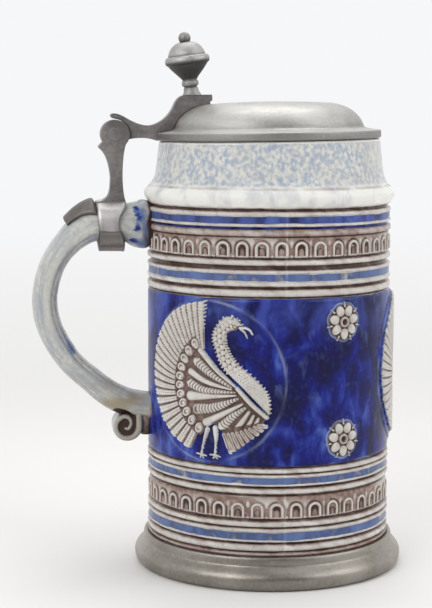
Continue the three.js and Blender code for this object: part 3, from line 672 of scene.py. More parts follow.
# The bird of the medallions: a common fan-tailed bird, facing right
TAIL_CENTRE = (2.2, -1.8)
TAIL_FEATHERS = 24
TAIL_FROM, TAIL_TO = 97.5, 251.0  # degrees
TAIL_CROWDING = 1.3  # how much narrower than the average the first feathers are
TAIL_ROOT = 15.5
FAN_MIDDLE, FAN_RADIUS = 1.6, 31.6
BARB_PITCH = 1.25
SCALLOPS = 11
SCALLOP_FROM, SCALLOP_TO = 113.0, 253.0  # degrees
SCALLOP_REACH, SCALLOP_SPREAD = 15.3, 3.2
SCALLOP_LENGTH, SCALLOP_WIDTH = 2.35, 1.85
BEAD_PITCH = 1.4
# Ribs of the wing from the shoulder to the tip: points, half widths, and whether they are beaded
WING_RIBS = [
    ([(12.9, -1.5), (5.1, 4.7), (-2.6, 12.7)], [0.5, 0.85, 0.95], False),
    ([(11.0, -1.7), (2.2, 3.2), (-4.6, 8.0)], [0.5, 1.15, 1.5], True),
    ([(11.2, -2.6), (0.3, -0.1), (-7.2, 3.5)], [0.45, 0.95, 1.3], False),
    ([(12.5, -3.8), (-0.7, -3.7), (-8.4, -1.2)], [0.45, 1.05, 1.4], True),
    ([(12.9, -5.0), (2.3, -6.0), (-7.4, -6.6)], [0.5, 0.95, 1.85], False),
    ([(13.6, -6.4), (4.2, -10.4), (-4.2, -11.9)], [0.6, 1.5, 1.65], True),
    ([(15.6, -8.5), (6.6, -13.5), (0.1, -16.9)], [0.6, 1.1, 1.35], False),
    ([(16.6, -10.2), (11.6, -13.8), (7.4, -18.0)], [0.7, 1.3, 1.5], True),
    ([(18.3, -11.7), (15.7, -15.6), (13.3, -19.0)], [0.7, 0.95, 1.05], False),
    ([(20.2, -13.1), (18.9, -16.0), (17.6, -18.6)], [0.6, 0.8, 1.15], False),
    ([(22.2, -14.1), (21.5, -15.9), (20.9, -17.2)], [0.5, 0.75, 1.0], False),
]
RIB_FULLNESS = (1.05, 1.22, 1.36)
WING_BAR = [(13.6, -2.2), (19.1, -8.3), (25.4, -13.8)]
WING_CORNER = (22.4, -18.0)
FRINGE = [(6.8, -19.4), (9.6, -28.0), (13.8, -27.6), (19.0, -23.2), (24.6, -17.6), (22.4, -15.6)]
FRINGE_FEATHERS = 9
SCALE_PITCH = 2.1
STIPPLE_PITCH = 1.15
NECK_LEFT = [
    (26.4, -13.0), (20.4, -6.6), (14.2, -0.4), (9.2, 4.3), (6.3, 8.5), (4.4, 13.6), (3.2, 18.2),
    (4.4, 22.4), (8.2, 26.0), (11.8, 26.6),
]
NECK_RIGHT = [
    (14.6, 24.0), (13.0, 21.9), (10.4, 21.4), (8.6, 19.2), (8.9, 15.6), (10.7, 11.6), (13.6, 8.0),
    (19.8, 2.8), (24.4, -2.0), (26.4, -6.4), (26.8, -12.4),
]
CREST = (10.6, 23.6)
EYE = (12.8, 23.2)
# Upper and lower half of the bill: points, half widths and height
BILL = (
    ([(14.6, 22.9), (17.9, 22.4), (19.7, 20.1)], [0.7, 0.5, 0.24], 1.6),
    ([(14.8, 22.4), (16.6, 20.8), (17.5, 18.7)], [0.55, 0.42, 0.22], 1.4),
)
# Legs: points and the half width of the thigh
LEGS = (
    ([(0.6, -19.8), (-0.7, -24.1), (-1.7, -28.6), (-2.2, -30.6)], 1.0),
    ([(4.2, -19.2), (4.5, -23.4), (4.3, -28.0), (4.0, -30.4)], 1.25),
)
TOES = ((-2.4, 0.1), (-0.7, -1.4), (0.9, -1.5), (2.4, -0.5))


def tail(relief):
    u, v = relief.u, relief.v
    pu, pv = u - TAIL_CENTRE[0], v - TAIL_CENTRE[1]
    rho = np.hypot(pu, pv)
    start, end = math.radians(TAIL_FROM), math.radians(TAIL_TO)
    angle = np.mod(np.arctan2(pv, pu) + 0.0045 * (rho - 26), 2 * np.pi)
    share = (angle - start) / (end - start)
    place = TAIL_FEATHERS * share * (TAIL_CROWDING + (1 - TAIL_CROWDING) * share)
    index = np.floor(place)
    f = place - index
    rim = FAN_RADIUS - 0.9 * (2 * f - 1) ** 4 + 0.25 * np.sin(index * 3.1)
    outer = smoothstep(0, 0.7, rim - np.hypot(u, v - FAN_MIDDLE))
    vane = np.abs(np.sin(2 * np.pi * f)) ** 0.6
    edge = np.abs(np.sin(np.pi * f)) ** 0.35
    slant = np.sin(rho * 2 * np.pi / BARB_PITCH - 9 * np.abs(f - 0.5))
    height = 1.55 * edge * (0.55 + 0.45 * vane) * (1 + 0.12 * slant) * np.sqrt(outer)
    length = 24.5 + 5.5 * share + 1.5 * np.sin(index * 2.3)
    # Painted shade: dark in the gaps between the feathers and along their shafts
    gap = 0.9 * bell(np.minimum(f, 1 - f), 0.125) * (1 - 0.7 * smoothstep(length - 4, length + 2, rho))
    middle = 0.4 * bell(f - 0.5, 0.07) * (1 - 0.7 * smoothstep(20, 30, rho))
    dark = np.maximum.reduce([gap, middle, 0.06 - 0.12 * slant])
    relief.paint(
        (share > 0) & (share < 1) & (rho > TAIL_ROOT),
        height=np.maximum(relief.height, height),
        clay=np.maximum(relief.clay, smoothstep(0.05, 0.5, outer)),
        dark=dark * outer,
    )
    # Barbs along the upper edge of the fan
    for s in np.linspace(0, 1, 11):
        foot = (-4.0 + 2.2 * s, 16.4 + 16.0 * s)
        relief.stroke([foot, (foot[0] + 2.2, foot[1] + 0.9)], [0.6, 0.25], 1.0)


def scallops(relief):
    """Curls in a row over the roots of the tail: each a rim that is open on one side, round a lump."""
    pu, pv = relief.u - TAIL_CENTRE[0], relief.v - TAIL_CENTRE[1]
    angle = np.degrees(np.mod(np.arctan2(pv, pu), 2 * np.pi))
    middle, half = (SCALLOP_FROM + SCALLOP_TO) / 2, (SCALLOP_TO - SCALLOP_FROM) / 2
    reach = SCALLOP_REACH + SCALLOP_SPREAD * ((angle - middle) / half) ** 2
    near = (np.hypot(pu, pv) - reach < 2.6) & (angle > SCALLOP_FROM - 5) & (angle < SCALLOP_TO + 3)
    relief.ground(near, 0.35, 0.8)
    for i, t in enumerate(np.linspace(-1, 1, SCALLOPS)):
        a = math.radians(middle + t * half)
        reach = SCALLOP_REACH + SCALLOP_SPREAD * t * t
        along = pu * math.cos(a) + pv * math.sin(a) - reach
        across = pv * math.cos(a) - pu * math.sin(a)
        d = np.hypot(along / SCALLOP_LENGTH, across / SCALLOP_WIDTH)
        opening = bell(wrapped(np.arctan2(across, along) - 2.4 - 0.4 * math.sin(i * 2.0)), 0.6)
        rim = bell(d - 0.74, 0.2) * (1 - 0.8 * opening)
        lump = bell(np.hypot(along + 0.35, across - 0.2), 0.85)
        height = 0.75 + 0.55 * rim + 0.5 * lump + 0.2 * dome(d)
        # Painted shade: dark in a ring round each curl and inside it, away from its rim and lump
        relief.paint((d >= 1.0) & (d < 1.2), height=0.5, clay=1, dark=0.9)
        relief.paint(d < 1.0, height=height, clay=1, dark=0.6 * (1 - np.clip(rim + lump, 0, 1)))


def wing(relief):
    tips = [points[-1] for points, _, _ in WING_RIBS]
    relief.ground(relief.inside([WING_BAR[0], WING_BAR[-1], WING_CORNER, *tips[::-1]]), 0.35, 0.88)
    for points, widths, beaded in WING_RIBS:
        full = [width * fullness for width, fullness in zip(widths, RIB_FULLNESS)]
        relief.stroke(spline(points, 16), full, 1.5, beads=BEAD_PITCH if beaded else 0.0)
    relief.stroke(spline(WING_BAR, 8), [0.95, 1.0, 0.95], 1.9)


def fringe(relief):
    """Long looped feathers that hang below the wing at the front."""
    relief.ground(relief.inside(FRINGE), 0.25, 0.85)
    for s in np.linspace(0, 1, FRINGE_FEATHERS):
        root = (8.0 + 14.4 * s, -21.4 + 4.4 * s**1.5)
        length = 7.9 - 8.6 * s + 3.5 * s * s
        lean = math.radians(-69 + 56 * s * s)
        tip = (root[0] + length * math.cos(lean), root[1] + length * math.sin(lean))
        relief.stroke([root, tip], [0.8, 0.95, 0.85], 1.2, groove=0.34)


def legs(relief):
    for line, thigh in LEGS:
        relief.stroke(spline(line, 10), [thigh, 0.8 * thigh, 0.48, 0.42, 0.45], 1.35)
        foot = line[-1]
        for toe in TOES:
            relief.stroke([foot, (foot[0] + toe[0], foot[1] + toe[1])], [0.42, 0.24], 0.8)


def chevrons(u, v, pitch):
    """Overlapping small feathers in rows, from 0 in the gaps to 1 on their crests."""
    rows = (0.8 * v - 0.6 * u) / pitch
    shift = np.mod(np.floor(rows), 2) * 0.5
    cell_u = np.mod((0.8 * u + 0.6 * v) / pitch + shift, 1) - 0.5
    cell_v = np.mod(rows, 1) - 0.5
    return dome(np.hypot(cell_u * 1.9, cell_v * 1.5 + 0.35 * np.abs(cell_u)))


def neck(relief):
    left, right = spline(NECK_LEFT, 44), spline(NECK_RIGHT, 44)
    u, v = relief.u, relief.v
    edge = relief.edge_distance(left + right)
    feathers = chevrons(u + 0.3 * np.sin(v * 0.8), v, SCALE_PITCH)
    stipple = chevrons(u, v + 0.2 * np.sin(u * 1.1), STIPPLE_PITCH)
    low = smoothstep(9.0, 3.0, v)
    scale = feathers * (1 - low) + (0.25 + 0.75 * stipple) * low
    height = 0.8 + 0.65 * np.sqrt(np.clip(edge / 2.4, 0, 1)) + (0.8 - 0.35 * low) * scale
    height = np.maximum(height * np.clip(edge / 0.4, 0.3, 1), 0.5)
    # Painted shade in the gaps between the small feathers
    dark = 0.08 + (0.7 - 0.3 * low) * smoothstep(0.75, 0.0, scale)
    relief.paint(relief.inside(left + right), height=height, clay=1, dark=dark)
    # Teeth of the outer feathers: down the back of the neck, and down its front
    for line, count, out_by, down_by in ((left[14:], 20, 0.35, -0.5), (right[12:], 26, 0.4, 0.45)):
        for i in range(count):
            s = (i + 0.5) / count * (len(line) - 1)
            a, b = np.array(line[int(s)]), np.array(line[min(int(s) + 1, len(line) - 1)])
            at = a + (b - a) * (s - int(s))
            along = (b - a) / max(np.linalg.norm(b - a), 1e-6)
            out = np.array([-along[1], along[0]])
            relief.stroke([at - 0.8 * out, at + out_by * out + down_by * along], [0.5, 0.3], 1.6)


def head(relief):
    """Crest, bill and eye."""
    for i in range(12):
        a = math.radians(168 - 14.5 * i)
        reach = 3.7 + 0.5 * math.sin(i * 2.4)
        root = (CREST[0] + 1.7 * math.cos(a), CREST[1] + 1.3 * math.sin(a))
        tip = (CREST[0] + (reach + 1.0) * math.cos(a), CREST[1] + reach * math.sin(a))
        relief.stroke([root, tip], [0.45, 0.5, 0.32], 1.9)
    for points, widths, height in BILL:
        relief.stroke(spline(points, 8), widths, height)
    d = np.hypot(relief.u - EYE[0], relief.v - EYE[1])
    relief.paint(d < 0.6, height=2.3 - 0.5 * (d / 0.6))
    relief.paint(d < 0.95, dark=np.where(d <= 0.55, 0.1, 0.8))


def polar_grid(radius, rings, segments):
    rho = radius * np.linspace(0, 1, rings)[:, None] ** 0.92
    a = turn_angles(segments)
    return rho * np.cos(a), rho * np.sin(a)


def recesses(height, rings=3, steps=(-4, -2, 0, 2, 4)):
    """How far each point of a round grid lies below its surroundings."""
    padded = np.pad(height, ((rings, rings), (0, 0)), mode="edge")
    total = np.zeros_like(height)
    for i in range(2 * rings + 1):
        for step in steps:
            total += np.roll(padded[i : i + len(height)], step, axis=1)
    return total / ((2 * rings + 1) * len(steps)) - height


def relief_piece(name, node, u, v, height, masks, angle, z, material):
    """Wraps a height map on a round grid over the panel, and closes it behind the wall."""
    back = np.linspace(len(u) - 1, 0, BACK_RINGS).round().astype(int)
    rows = [*range(len(u)), *back]
    turn = math.radians(angle) + u[rows] / PANEL_RADIUS
    radius = PANEL_RADIUS + height[rows]
    radius[len(u) :] = PANEL_RADIUS - BACK_DEPTH
    points = np.stack([radius * np.cos(turn), radius * np.sin(turn), z + v[rows]], -1)
    masks = {key: mask[rows] for key, mask in masks.items()}
    weld(new_piece(name, node, points, tube_faces(*turn.shape), material, masks))


def medallions(material):
    margin = 1.2
    u, v = polar_grid(MEDALLION_RADIUS + margin, rings=118, segments=440)
    relief = Relief(u, v)
    for part in (tail, scallops, wing, fringe, legs, neck, head):
        part(relief)
    turn, r = np.arctan2(v, u), np.hypot(u, v)
    edge = MEDALLION_RADIUS - r + 0.16 * wobble(turn, 0, 4, 5)
    field = 0.55 * smoothstep(-0.9, 0.5, edge) - 0.5 * smoothstep(-0.7, -margin, edge)
    height = field + relief.height + 0.03 * wobble(turn, r * 3, 3, 2)
    # Painted shade, deeper where the relief lies below its surroundings
    recess_shade = np.clip(1.6 * recesses(relief.height), 0, 0.7)
    dark = np.clip(relief.dark + recess_shade * (1 - relief.dark), 0, 1) * relief.clay
    broken = np.clip(0.42 + 0.5 * wobble(turn, 0, 3, 9), 0, 1)
    masks = {
        "cobalt": np.clip(1 - relief.clay, 0, 1),
        "iron_and_shade": np.clip(0.04 + 0.9 * dark, 0, 1) * relief.clay,
        "halo": broken * bell(edge + 0.1, 0.6) * (1 - relief.clay),
    }
    for side, angle in MEDALLION_ANGLES.items():
        node = f"bird_medallion_{side}"
        relief_piece(f"bird_relief_{side}", node, u, v, height, masks, angle, PANEL_MIDDLE, material)


def rosettes(material):
    u, v = polar_grid(ROSETTE_RADIUS + 1.9, rings=48, segments=196)
    r = np.hypot(u, v)
    share = np.mod(np.arctan2(v, u) * PETALS / (2 * np.pi) + 0.25, 1) - 0.5
    petal_pitch = 2 * np.pi / PETALS * r
    petal_length, petal_width = 0.31 * ROSETTE_RADIUS, 0.27 * ROSETTE_RADIUS
    petal = dome(np.hypot((r - 0.64 * ROSETTE_RADIUS) / petal_length, share * petal_pitch / petal_width))
    between = (0.5 - np.abs(share)) * petal_pitch
    sepal_width = 0.45 * np.clip((SEPAL_REACH - r) / 2.0, 0.05, 1)
    sepal = np.clip(1 - (between / sepal_width) ** 2, 0, 1) * (r > 6.2) * (r < SEPAL_REACH)
    ring = bell(r - 1.75, 0.5)
    outside = r - (7.6 - 0.9 * (2 * share) ** 2 + 1.0 * bell(between, 0.6))
    ground = smoothstep(0.1, -0.25, outside)
    height = np.maximum(0.3 * ground, 0.2 * smoothstep(1.2, 0.7, outside))
    height += 1.0 * petal + 0.75 * np.sqrt(sepal) + 1.2 * ring - 0.1 * bell(r, 0.85)
    height -= 0.4 * smoothstep(0.9, 1.3, outside)
    height = np.where(r > ROSETTE_RADIUS + 1.4, -0.4, height)
    figure = [0.92 * smoothstep(0.05, 0.7, petal), smoothstep(0.1, 0.6, sepal), 0.82 * ring]
    # Painted shade: the petals darker on their inner slope towards the ring
    figure = np.maximum.reduce(figure) - 0.3 * petal * bell(r - 3.3, 1.1)
    clay = np.maximum(ground, figure)
    masks = {
        "cobalt": 1 - np.clip(clay, 0, 1),
        "iron_and_shade": np.clip(1 - figure, 0.06, 1) * clay,
        "halo": 1.3 * bell(outside - 0.5, 0.3) * (1 - figure),
    }
    for side, angle in ROSETTE_ANGLES.items():
        for level, z in ROSETTE_LEVELS.items():
            node = f"rosette_{level}_{side}"
            relief_piece(f"flower_{level}_{side}", node, u, v, height, masks, angle, z, material)


# Handle: stations along its route are rows of x, z, thickness, width and the direction of the route
def handle_at(share):
    """A point of the handle's middle line: x, thickness, z."""
    return curve_point(HANDLE_POINTS, share, 0.5)


def handle_station(share, step=0.004):
    x, thickness, z = handle_at(share)
    along = (handle_at(share + step) - handle_at(share - step))[[0, 2]]
    along /= np.linalg.norm(along)
    return x, z, thickness, HANDLE_WIDTH_TOP + (HANDLE_WIDTH_LOW - HANDLE_WIDTH_TOP) * share, *along


def sweep_points(stations, angles, squareness=0.8):
    """Sections across a route in the XZ plane; angle 0 is on the outside of the bend."""
    x, z, thickness, width, along_x, along_z = np.array(stations).T[:, :, None]
    parts = np.cos(angles), np.sin(angles)
    out, aside = (np.sign(part) * np.abs(part) ** squareness / 2 for part in parts)
    return np.stack([x + along_z * thickness * out, width * aside, z - along_x * thickness * out], -1)


def outward_of(points, stations):
    """Unit vectors from the middle of each section to its points."""
    away = points - np.array([[(x, 0, z)] for x, z, *_ in stations])
    return away / np.maximum(np.linalg.norm(away, axis=-1, keepdims=True), 1e-6)


def side_face(angles):
    """1 on the sides of a section, and 0 on its outside and inside."""
    return smoothstep(0.4, 0.8, np.abs(np.sin(angles)))


def handle_blue(x, z, along, angles):
    """Cobalt on the handle: blots and a wash on its upper end, and a blue-grey trace along its inner side
    that is partly painted shade.
    """
    upper = along < 0.2
    drift = 0.5 * np.sin(z * 1.7) + 0.3 * np.sin(z * 4.1 + 1)
    spots = [bell(x + drift - at, wide) * bell(z - level, tall) for at, level, wide, tall in STUB_BLOTS]
    blots = 1.15 * np.max(spots, axis=0) * side_face(angles) * upper
    wash = 0.53 * bell(x + 55.9, 3.6) * upper
    grain = np.sin(along * 60 + 3 * np.sin(angles * 2)) * np.sin(angles * 5 + along * 9)
    inner_blue_and_shade = smoothstep(0.18, 0.26, along) * smoothstep(0.82, 0.7, along)
    inner_blue_and_shade = 0.4 * inner_blue_and_shade * smoothstep(0.2, 0.7, -np.cos(angles)) + 0.06 * grain
    return np.clip(np.maximum.reduce([blots, wash, inner_blue_and_shade]), 0, 1)


def roll_shadow(x, z, along):
    """Dark hollow between the handle and its roll."""
    x, z = x - ROLL_CENTRE[0], z - ROLL_CENTRE[1]
    edge = np.interp(np.arctan2(z, x), SHADOW_BEARINGS, SHADOW_REACHES)
    return smoothstep(edge + 0.4, edge - 0.2, np.hypot(x, z)) * (along > 0.75) * smoothstep(4.0, 2.6, x)


def stoneware_handle(material):
    angles = turn_angles(HANDLE_SEGMENTS)
    along = np.linspace(0.004, 0.998, 196)[:, None]
    stations = [handle_station(share) for share in along[:, 0]]
    points = sweep_points(stations, angles)
    outward = outward_of(points, stations)
    degrees, back = np.abs(np.degrees(wrapped(angles))), np.cos(angles)
    # Grooves along both sides, and lumps
    groove = bell(degrees - 122, 8) * smoothstep(0.2, 0.3, along) * smoothstep(0.9, 0.78, along)
    lump = 0.18 * np.sin(along * 47 + 2 * np.sin(3 * angles)) + 0.1 * np.sin(along * 131 + 3 * angles)
    points = points - outward * (0.35 + 0.7 * groove - 0.35 * lump)[..., None]
    # Crease where the upper end meets the wall, and the lower end drawn in
    upper = along < 0.2
    out = np.hypot(points[..., 0], points[..., 1]) - PANEL_RADIUS
    crease = smoothstep(2.6, -0.5, out) * upper
    lower_end = 1.6 * smoothstep(0.9, 0.99, along) * smoothstep(0.0, 0.8, back)
    points = points - outward * (0.9 * crease**1.5 + lower_end)[..., None]
    x, z = points[..., 0], points[..., 2]
    # Painted shade: dark brown in the crevice where the upper end meets the wall, wider lower down, and by
    # the wall at the lower end
    crevice = 1.1 + 2.7 * smoothstep(154, 146, z)
    near_body = smoothstep(1.25 * crevice, 0.6 * crevice, out) * upper
    near_body += 0.5 * smoothstep(1.4, 0.2, out) * ~upper * smoothstep(74, 68, z)
    shadow = roll_shadow(x, z, along)
    points = points - outward * (0.9 * shadow * side_face(angles))[..., None]
    ochre = smoothstep(0.7, 0.86, along) * (0.6 + 0.4 * np.sin(along * 55 + angles * 3))
    masks = {
        "cobalt": handle_blue(x, z, along, angles),
        "iron_and_shade": np.clip(0.98 * np.maximum(near_body, shadow) + 0.2 * groove + 0.03, 0, 1),
        "ochre": ochre,
        # Painted highlight along the middle of each side
        "ridge": bell(degrees - 94, 10) * smoothstep(0.2, 0.3, along) * smoothstep(0.75, 0.6, along),
        "run": along * HANDLE_LENGTH,
        "turn_out": 6 * back,
        "turn_aside": 9 * np.sin(angles),
    }
    tube_piece("handle_run", "stoneware_handle", points, material, masks)


def roll_strip(material):
    """The lower end of the handle, rolled up under its joint."""
    lead_steps, steps = 8, 120
    path = [(ROLL_RADIUS, ROLL_LEAD * (1 - i / lead_steps)) for i in range(lead_steps)]
    for share in np.linspace(0, 1, steps + 1):
        turn = -2 * math.pi * ROLL_TURNS * share
        radius = ROLL_RADIUS * (1 - 0.36 * share**1.2 - 0.53 * smoothstep(0.5, 0.725, share))
        path.append((radius * math.cos(turn), radius * math.sin(turn)))
    x, z = np.array(path).T
    along = np.gradient(np.array(path), axis=0)
    along /= np.linalg.norm(along, axis=1, keepdims=True)
    number = np.arange(len(path))
    share = np.maximum(0, number - lead_steps) / steps
    thickness = np.interp(1.6 * share, (0, 1), ROLL_STRIP)
    width = HANDLE_WIDTH_LOW - 0.6 - 0.5 * share - 2.6 * smoothstep(1.5, 6.0, z) * (number < lead_steps)
    stations = np.column_stack([ROLL_CENTRE[0] + x, ROLL_CENTRE[1] + z, thickness, width, along])
    angles = turn_angles(ROLL_SEGMENTS)
    masks = {
        # Painted shade: dark on the inner face of the strip, in the hollow of the roll
        "iron_and_shade": 0.1 + 0.88 * smoothstep(0.2, 0.9, np.cos(angles)),
        "ochre": 0.6,
        "run": 0.4 * number[:, None],
        "turn_out": 2 * np.cos(angles),
        "turn_aside": 9 * np.sin(angles),
    }
    points = sweep_points(stations, angles, squareness=0.5)
    tube_piece("handle_roll", "stoneware_handle", points, material, masks)


def pin_profile(radius, half, edge):
    """Profile of a short round bar with rounded edges."""
    return rounded([(0, -half), (radius, -half), (radius, half), (0, half)], edge)


def roll_shade_core(material):
    """A dark core between the turns of the roll: painted shade that fills the hollow of the spiral."""
    profile = pin_profile(ROLL_RADIUS + 0.3, HANDLE_WIDTH_LOW / 2 - 1.7, 0.8)
    place = Matrix.Translation((ROLL_CENTRE[0], 0, ROLL_CENTRE[1])) @ Matrix.Rotation(math.pi / 2, 4, "X")
    turned_piece("roll_shade_core", "stoneware_handle", profile, CORE_SEGMENTS, material, place, {"iron_and_shade": 1.0})


def joint_clay(material):
    """Clay that fills the corner between the roll and the wall."""
    x, top, drop = -53.9, 70.0, 13.2
    shares = np.linspace(0, 1, 12)
    stations = [(x, top - drop * t, 5.6 - 0.8 * t**3, 14.6 - 2.6 * t, 0.0, -1.0) for t in shares]
    points = sweep_points(stations, turn_angles(ROLL_SEGMENTS))
    # Painted shade: darker towards the bottom, in the corner under the roll
    below = smoothstep(68, 58, points[..., 2])
    masks = {"iron_and_shade": 0.35 + 0.5 * below, "ochre": 1 - below}
    tube_piece("handle_joint", "stoneware_handle", points, material, masks)


# Pewter band on the handle
def band_piece(name, node, shares, first, last, thickness, material, pinch=0.0, open_sides=True):
    """A bent plate round part of the handle, from a first to a last angle of its sections, in degrees."""
    n, m = len(shares), 64
    number = np.arange(n)[:, None]
    t = number / (n - 1)
    stations = [handle_station(share) for share in shares]
    degrees = first + (last - first) * np.linspace(0, 1, m)
    angles = np.radians(degrees)
    ground = sweep_points(stations, angles)
    outward = outward_of(ground, stations)
    aside = np.abs(np.degrees(wrapped(angles)))
    shift = pinch * bell(aside - 88, 30) * (1 - t) ** 2 + 0.35 * pinch * smoothstep(100, 150, aside) * t**2
    ground[..., 0] += shift * np.array(stations)[:, 4:5]
    ground[..., 2] += shift * np.array(stations)[:, 5:6]
    edge = np.minimum(number, n - 1 - number)
    if open_sides:
        edge = np.minimum(edge, np.minimum(np.arange(m), np.arange(m)[::-1]))
    soft = dome(1 - np.clip(edge / 2.2, 0, 1))
    lift = FIT_GAP + thickness(t, degrees) * (0.35 + 0.65 * soft)
    top, under = ground + outward * lift[..., None], ground + outward * 0.1
    # Painted shade: the plate darker down its sides towards the shaded underside, with a little uneven tone
    # along it
    tone_and_shade = 0.72 * smoothstep(74, 104, aside) * (0.8 + 0.2 * np.sin(9 * number / n))
    points = np.concatenate([top, under[:, ::-1]], axis=1)
    faces = [*tube_faces(n, 2 * m)]
    last_row = (n - 1) * 2 * m
    for k in range(m - 1):
        j = 2 * m - 1 - k
        faces.append((k + 1, k, j, j - 1))
        faces.append([last_row + corner for corner in (k, k + 1, j - 1, j)])
    new_piece(name, node, points, faces, material, {"patina_and_shade": np.concatenate([tone_and_shade, tone_and_shade[:, ::-1]], axis=1)})


def share_at(x):
    """Share of the route where the handle's upper run reaches an x."""
    share = 0.0
    while handle_at(share)[0] > x:
        share += 0.0005
    return share


def handle_band(pale, dark):
    near, far, tip = share_at(BAND_NEAR + 0.7), share_at(BAND_FAR), share_at(TANG_TIP)
    t = np.linspace(0, 1, 30)[:, None]
    # Angle down the side at which the leaf ends, from its root to its tip
    reach = 66 - 27 * t - 5 * np.sin(np.pi * t)

    def saddle(t, degrees):
        return BAND_PLATE + 0.25 * np.sin(np.pi * t)

    def strap(t, degrees):
        return BAND_PLATE + 2.4 * smoothstep(0.3, 0.85, -np.cos(np.radians(degrees)))

    def leaf(t, degrees):
        return (BAND_PLATE + 1.3 * bell(degrees, 0.75 * reach)) * (1 - 0.25 * t)

    band, half = np.linspace(near, far, 26), BAND_HALF_ANGLE
    band_piece("saddle_plate", "handle_saddle", band, -half, half, saddle, pale, BAND_PINCH, False)
    band_piece("strap_plate", "handle_strap", band, half, 360 - half, strap, dark, BAND_PINCH, False)
    band_piece("tang_leaf", "handle_tang", np.linspace(far + 0.001, tip, 30), -reach, reach, leaf, dark)


# Materials
ROOM_WHITE = (0.925, 0.93, 0.945)


class Graph:
    """Short names for the nodes that the materials are made of."""

    def __init__(self, tree, place="Object"):
        self.nodes, self.links = tree.nodes, tree.links
        self.place = self.nodes.new("ShaderNodeTexCoord").outputs[place]

    def feed(self, node, sockets):
        """Gives a node's sockets their values, or links them to other nodes."""
        for key, value in sockets.items():
            if isinstance(value, (int, float, tuple)):
                node.inputs[key].default_value = value
            else:
                self.links.new(value, node.inputs[key])
        return node.outputs

    def add(self, kind, sockets, **settings):
        """The outputs of a new node with its settings and sockets."""
        node = self.nodes.new(f"ShaderNode{kind}")
        for key, value in settings.items():
            setattr(node, key, value)
        return self.feed(node, sockets)

    def mask(self, name):
        return self.add("Attribute", {}, attribute_name=name)["Fac"]

    def noise(self, scale, detail=2.0, stretch=(1, 1, 1), distortion=0.0, roughness=0.5, shift=0.0):
        place = self.add("Mapping", {"Vector": self.place, "Scale": stretch, "Location": (shift,) * 3})[0]
        sockets = {"Scale": scale, "Detail": detail, "Distortion": distortion, "Roughness": roughness}
        return self.add("TexNoise", {"Vector": place, **sockets})["Fac"]

    def math(self, operation, a, b=0.0, c=0.0):
        return self.add("Math", {0: a, 1: b, 2: c}, operation=operation)[0]

    def times(self, a, b):
        return self.math("MULTIPLY", a, b)

    def spread(self, value, low, high, to_low=0.0, to_high=1.0):
        """From one value at low to another at high, with a soft start and end."""
        sockets = {"Value": value, "From Min": low, "From Max": high, "To Min": to_low, "To Max": to_high}
        return self.add("MapRange", sockets, interpolation_type="SMOOTHSTEP")["Result"]

    def mix(self, share, a, b):
        a, b = ((*colour, 1) if isinstance(colour, tuple) else colour for colour in (a, b))
        return self.add("Mix", {"Factor": share, 6: a, 7: b}, data_type="RGBA")[2]

    def tint(self, colour, value, low, high, most, other):
        """Mixes up to a share of another colour in where a value is high."""
        return self.mix(self.spread(value, low, high, 0, most), colour, other)

    def ramp(self, value, stops):
        outputs = self.add("ValToRGB", {"Fac": value})
        ramp = outputs[0].node.color_ramp
        while len(ramp.elements) < len(stops):
            ramp.elements.new(1)
        for element, (at, colour) in zip(ramp.elements, stops):
            element.position = at
            element.color = (*colour, 1)
        return outputs["Color"]

    def bump(self, height, distance, strength, normal=None):
        sockets = {"Height": height, "Distance": distance, "Strength": strength}
        if normal is not None:
            sockets["Normal"] = normal
        return self.add("Bump", sockets)["Normal"]

    def split(self):
        return self.add("SeparateXYZ", {0: self.place})

    def join(self, x, y, z):
        return self.add("CombineXYZ", {0: x, 1: y, 2: z})[0]

    def axis_distance(self):
        """Distance from the Z axis."""
        x, y, _ = self.split()
        return self.math("SQRT", self.math("ADD", self.times(x, x), self.times(y, y)))

    def rays(self):
        """Whether a ray is the camera's own, and whether it comes by way of a glossy or clear surface."""
        path = self.add("LightPath", {})
        mirrored = self.math("MAXIMUM", path["Is Glossy Ray"], path["Is Transmission Ray"])
        return path["Is Camera Ray"], mirrored

    def choose(self, share, a, b):
        """A mixture of two shaders, of the second one where the share is 1."""
        return self.add("MixShader", {0: share, 1: a, 2: b})[0]


def node_material(name):
    material = bpy.data.materials.new(name)
    material.use_nodes = True
    graph = Graph(material.node_tree)
    return material, graph, graph.nodes["Principled BSDF"]


def crest_and_neck(g, clay, clouds, brush):
    """The clay as it shows on the crest of the bead and, with blue-grey spots, on the neck."""
    spots = g.noise(560, 1.0, stretch=(1, 1, 0.85), distortion=0.2, shift=0.9)
    spotted = g.mix(g.spread(spots, 0.30, 0.70), (0.66, 0.66, 0.60), (0.31, 0.37, 0.48))
    spotted = g.tint(spotted, clouds, 0.42, 0.68, 0.35, (0.54, 0.50, 0.44))
    crest = g.tint((0.82, 0.82, 0.78), brush, 0.45, 0.68, 0.55, (0.40, 0.43, 0.50))
    mottle = g.mask("mottle")
    colour = g.tint(clay, mottle, 0.0, 0.3, 0.85, crest)
    return g.tint(colour, mottle, 0.3, 0.95, 0.92, spotted)


def streaks(g):
    """Fine blue-grey strands along the handle over a cream grey, with a painted highlight along the ridge
    and ochre where they are masked.
    """
    place = g.place
    g.place = g.join(g.times(g.mask("run"), 0.09), g.mask("turn_out"), g.mask("turn_aside"))
    strands = g.noise(0.75, 4.0, distortion=0.35, roughness=0.6)
    broad = g.noise(0.3, 2.0, distortion=0.4, shift=2.0)
    g.place = place
    specks = g.noise(560, 2.0, shift=7.7)
    colour = g.mix(g.spread(strands, 0.34, 0.68), (0.585, 0.58, 0.54), (0.30, 0.34, 0.41))
    colour = g.tint(colour, broad, 0.38, 0.62, 0.5, (0.57, 0.55, 0.49))
    colour = g.tint(colour, specks, 0.42, 0.66, 0.6, (0.37, 0.385, 0.38))
    # Painted highlight: a paler cream band along the ridge of each side
    colour = g.mix(g.times(g.mask("ridge"), 0.6), colour, (0.60, 0.59, 0.54))
    patches = g.spread(g.noise(90, 2.0, shift=6.1), 0.38, 0.6)
    return g.mix(g.times(g.mask("ochre"), patches), colour, (0.35, 0.30, 0.21))


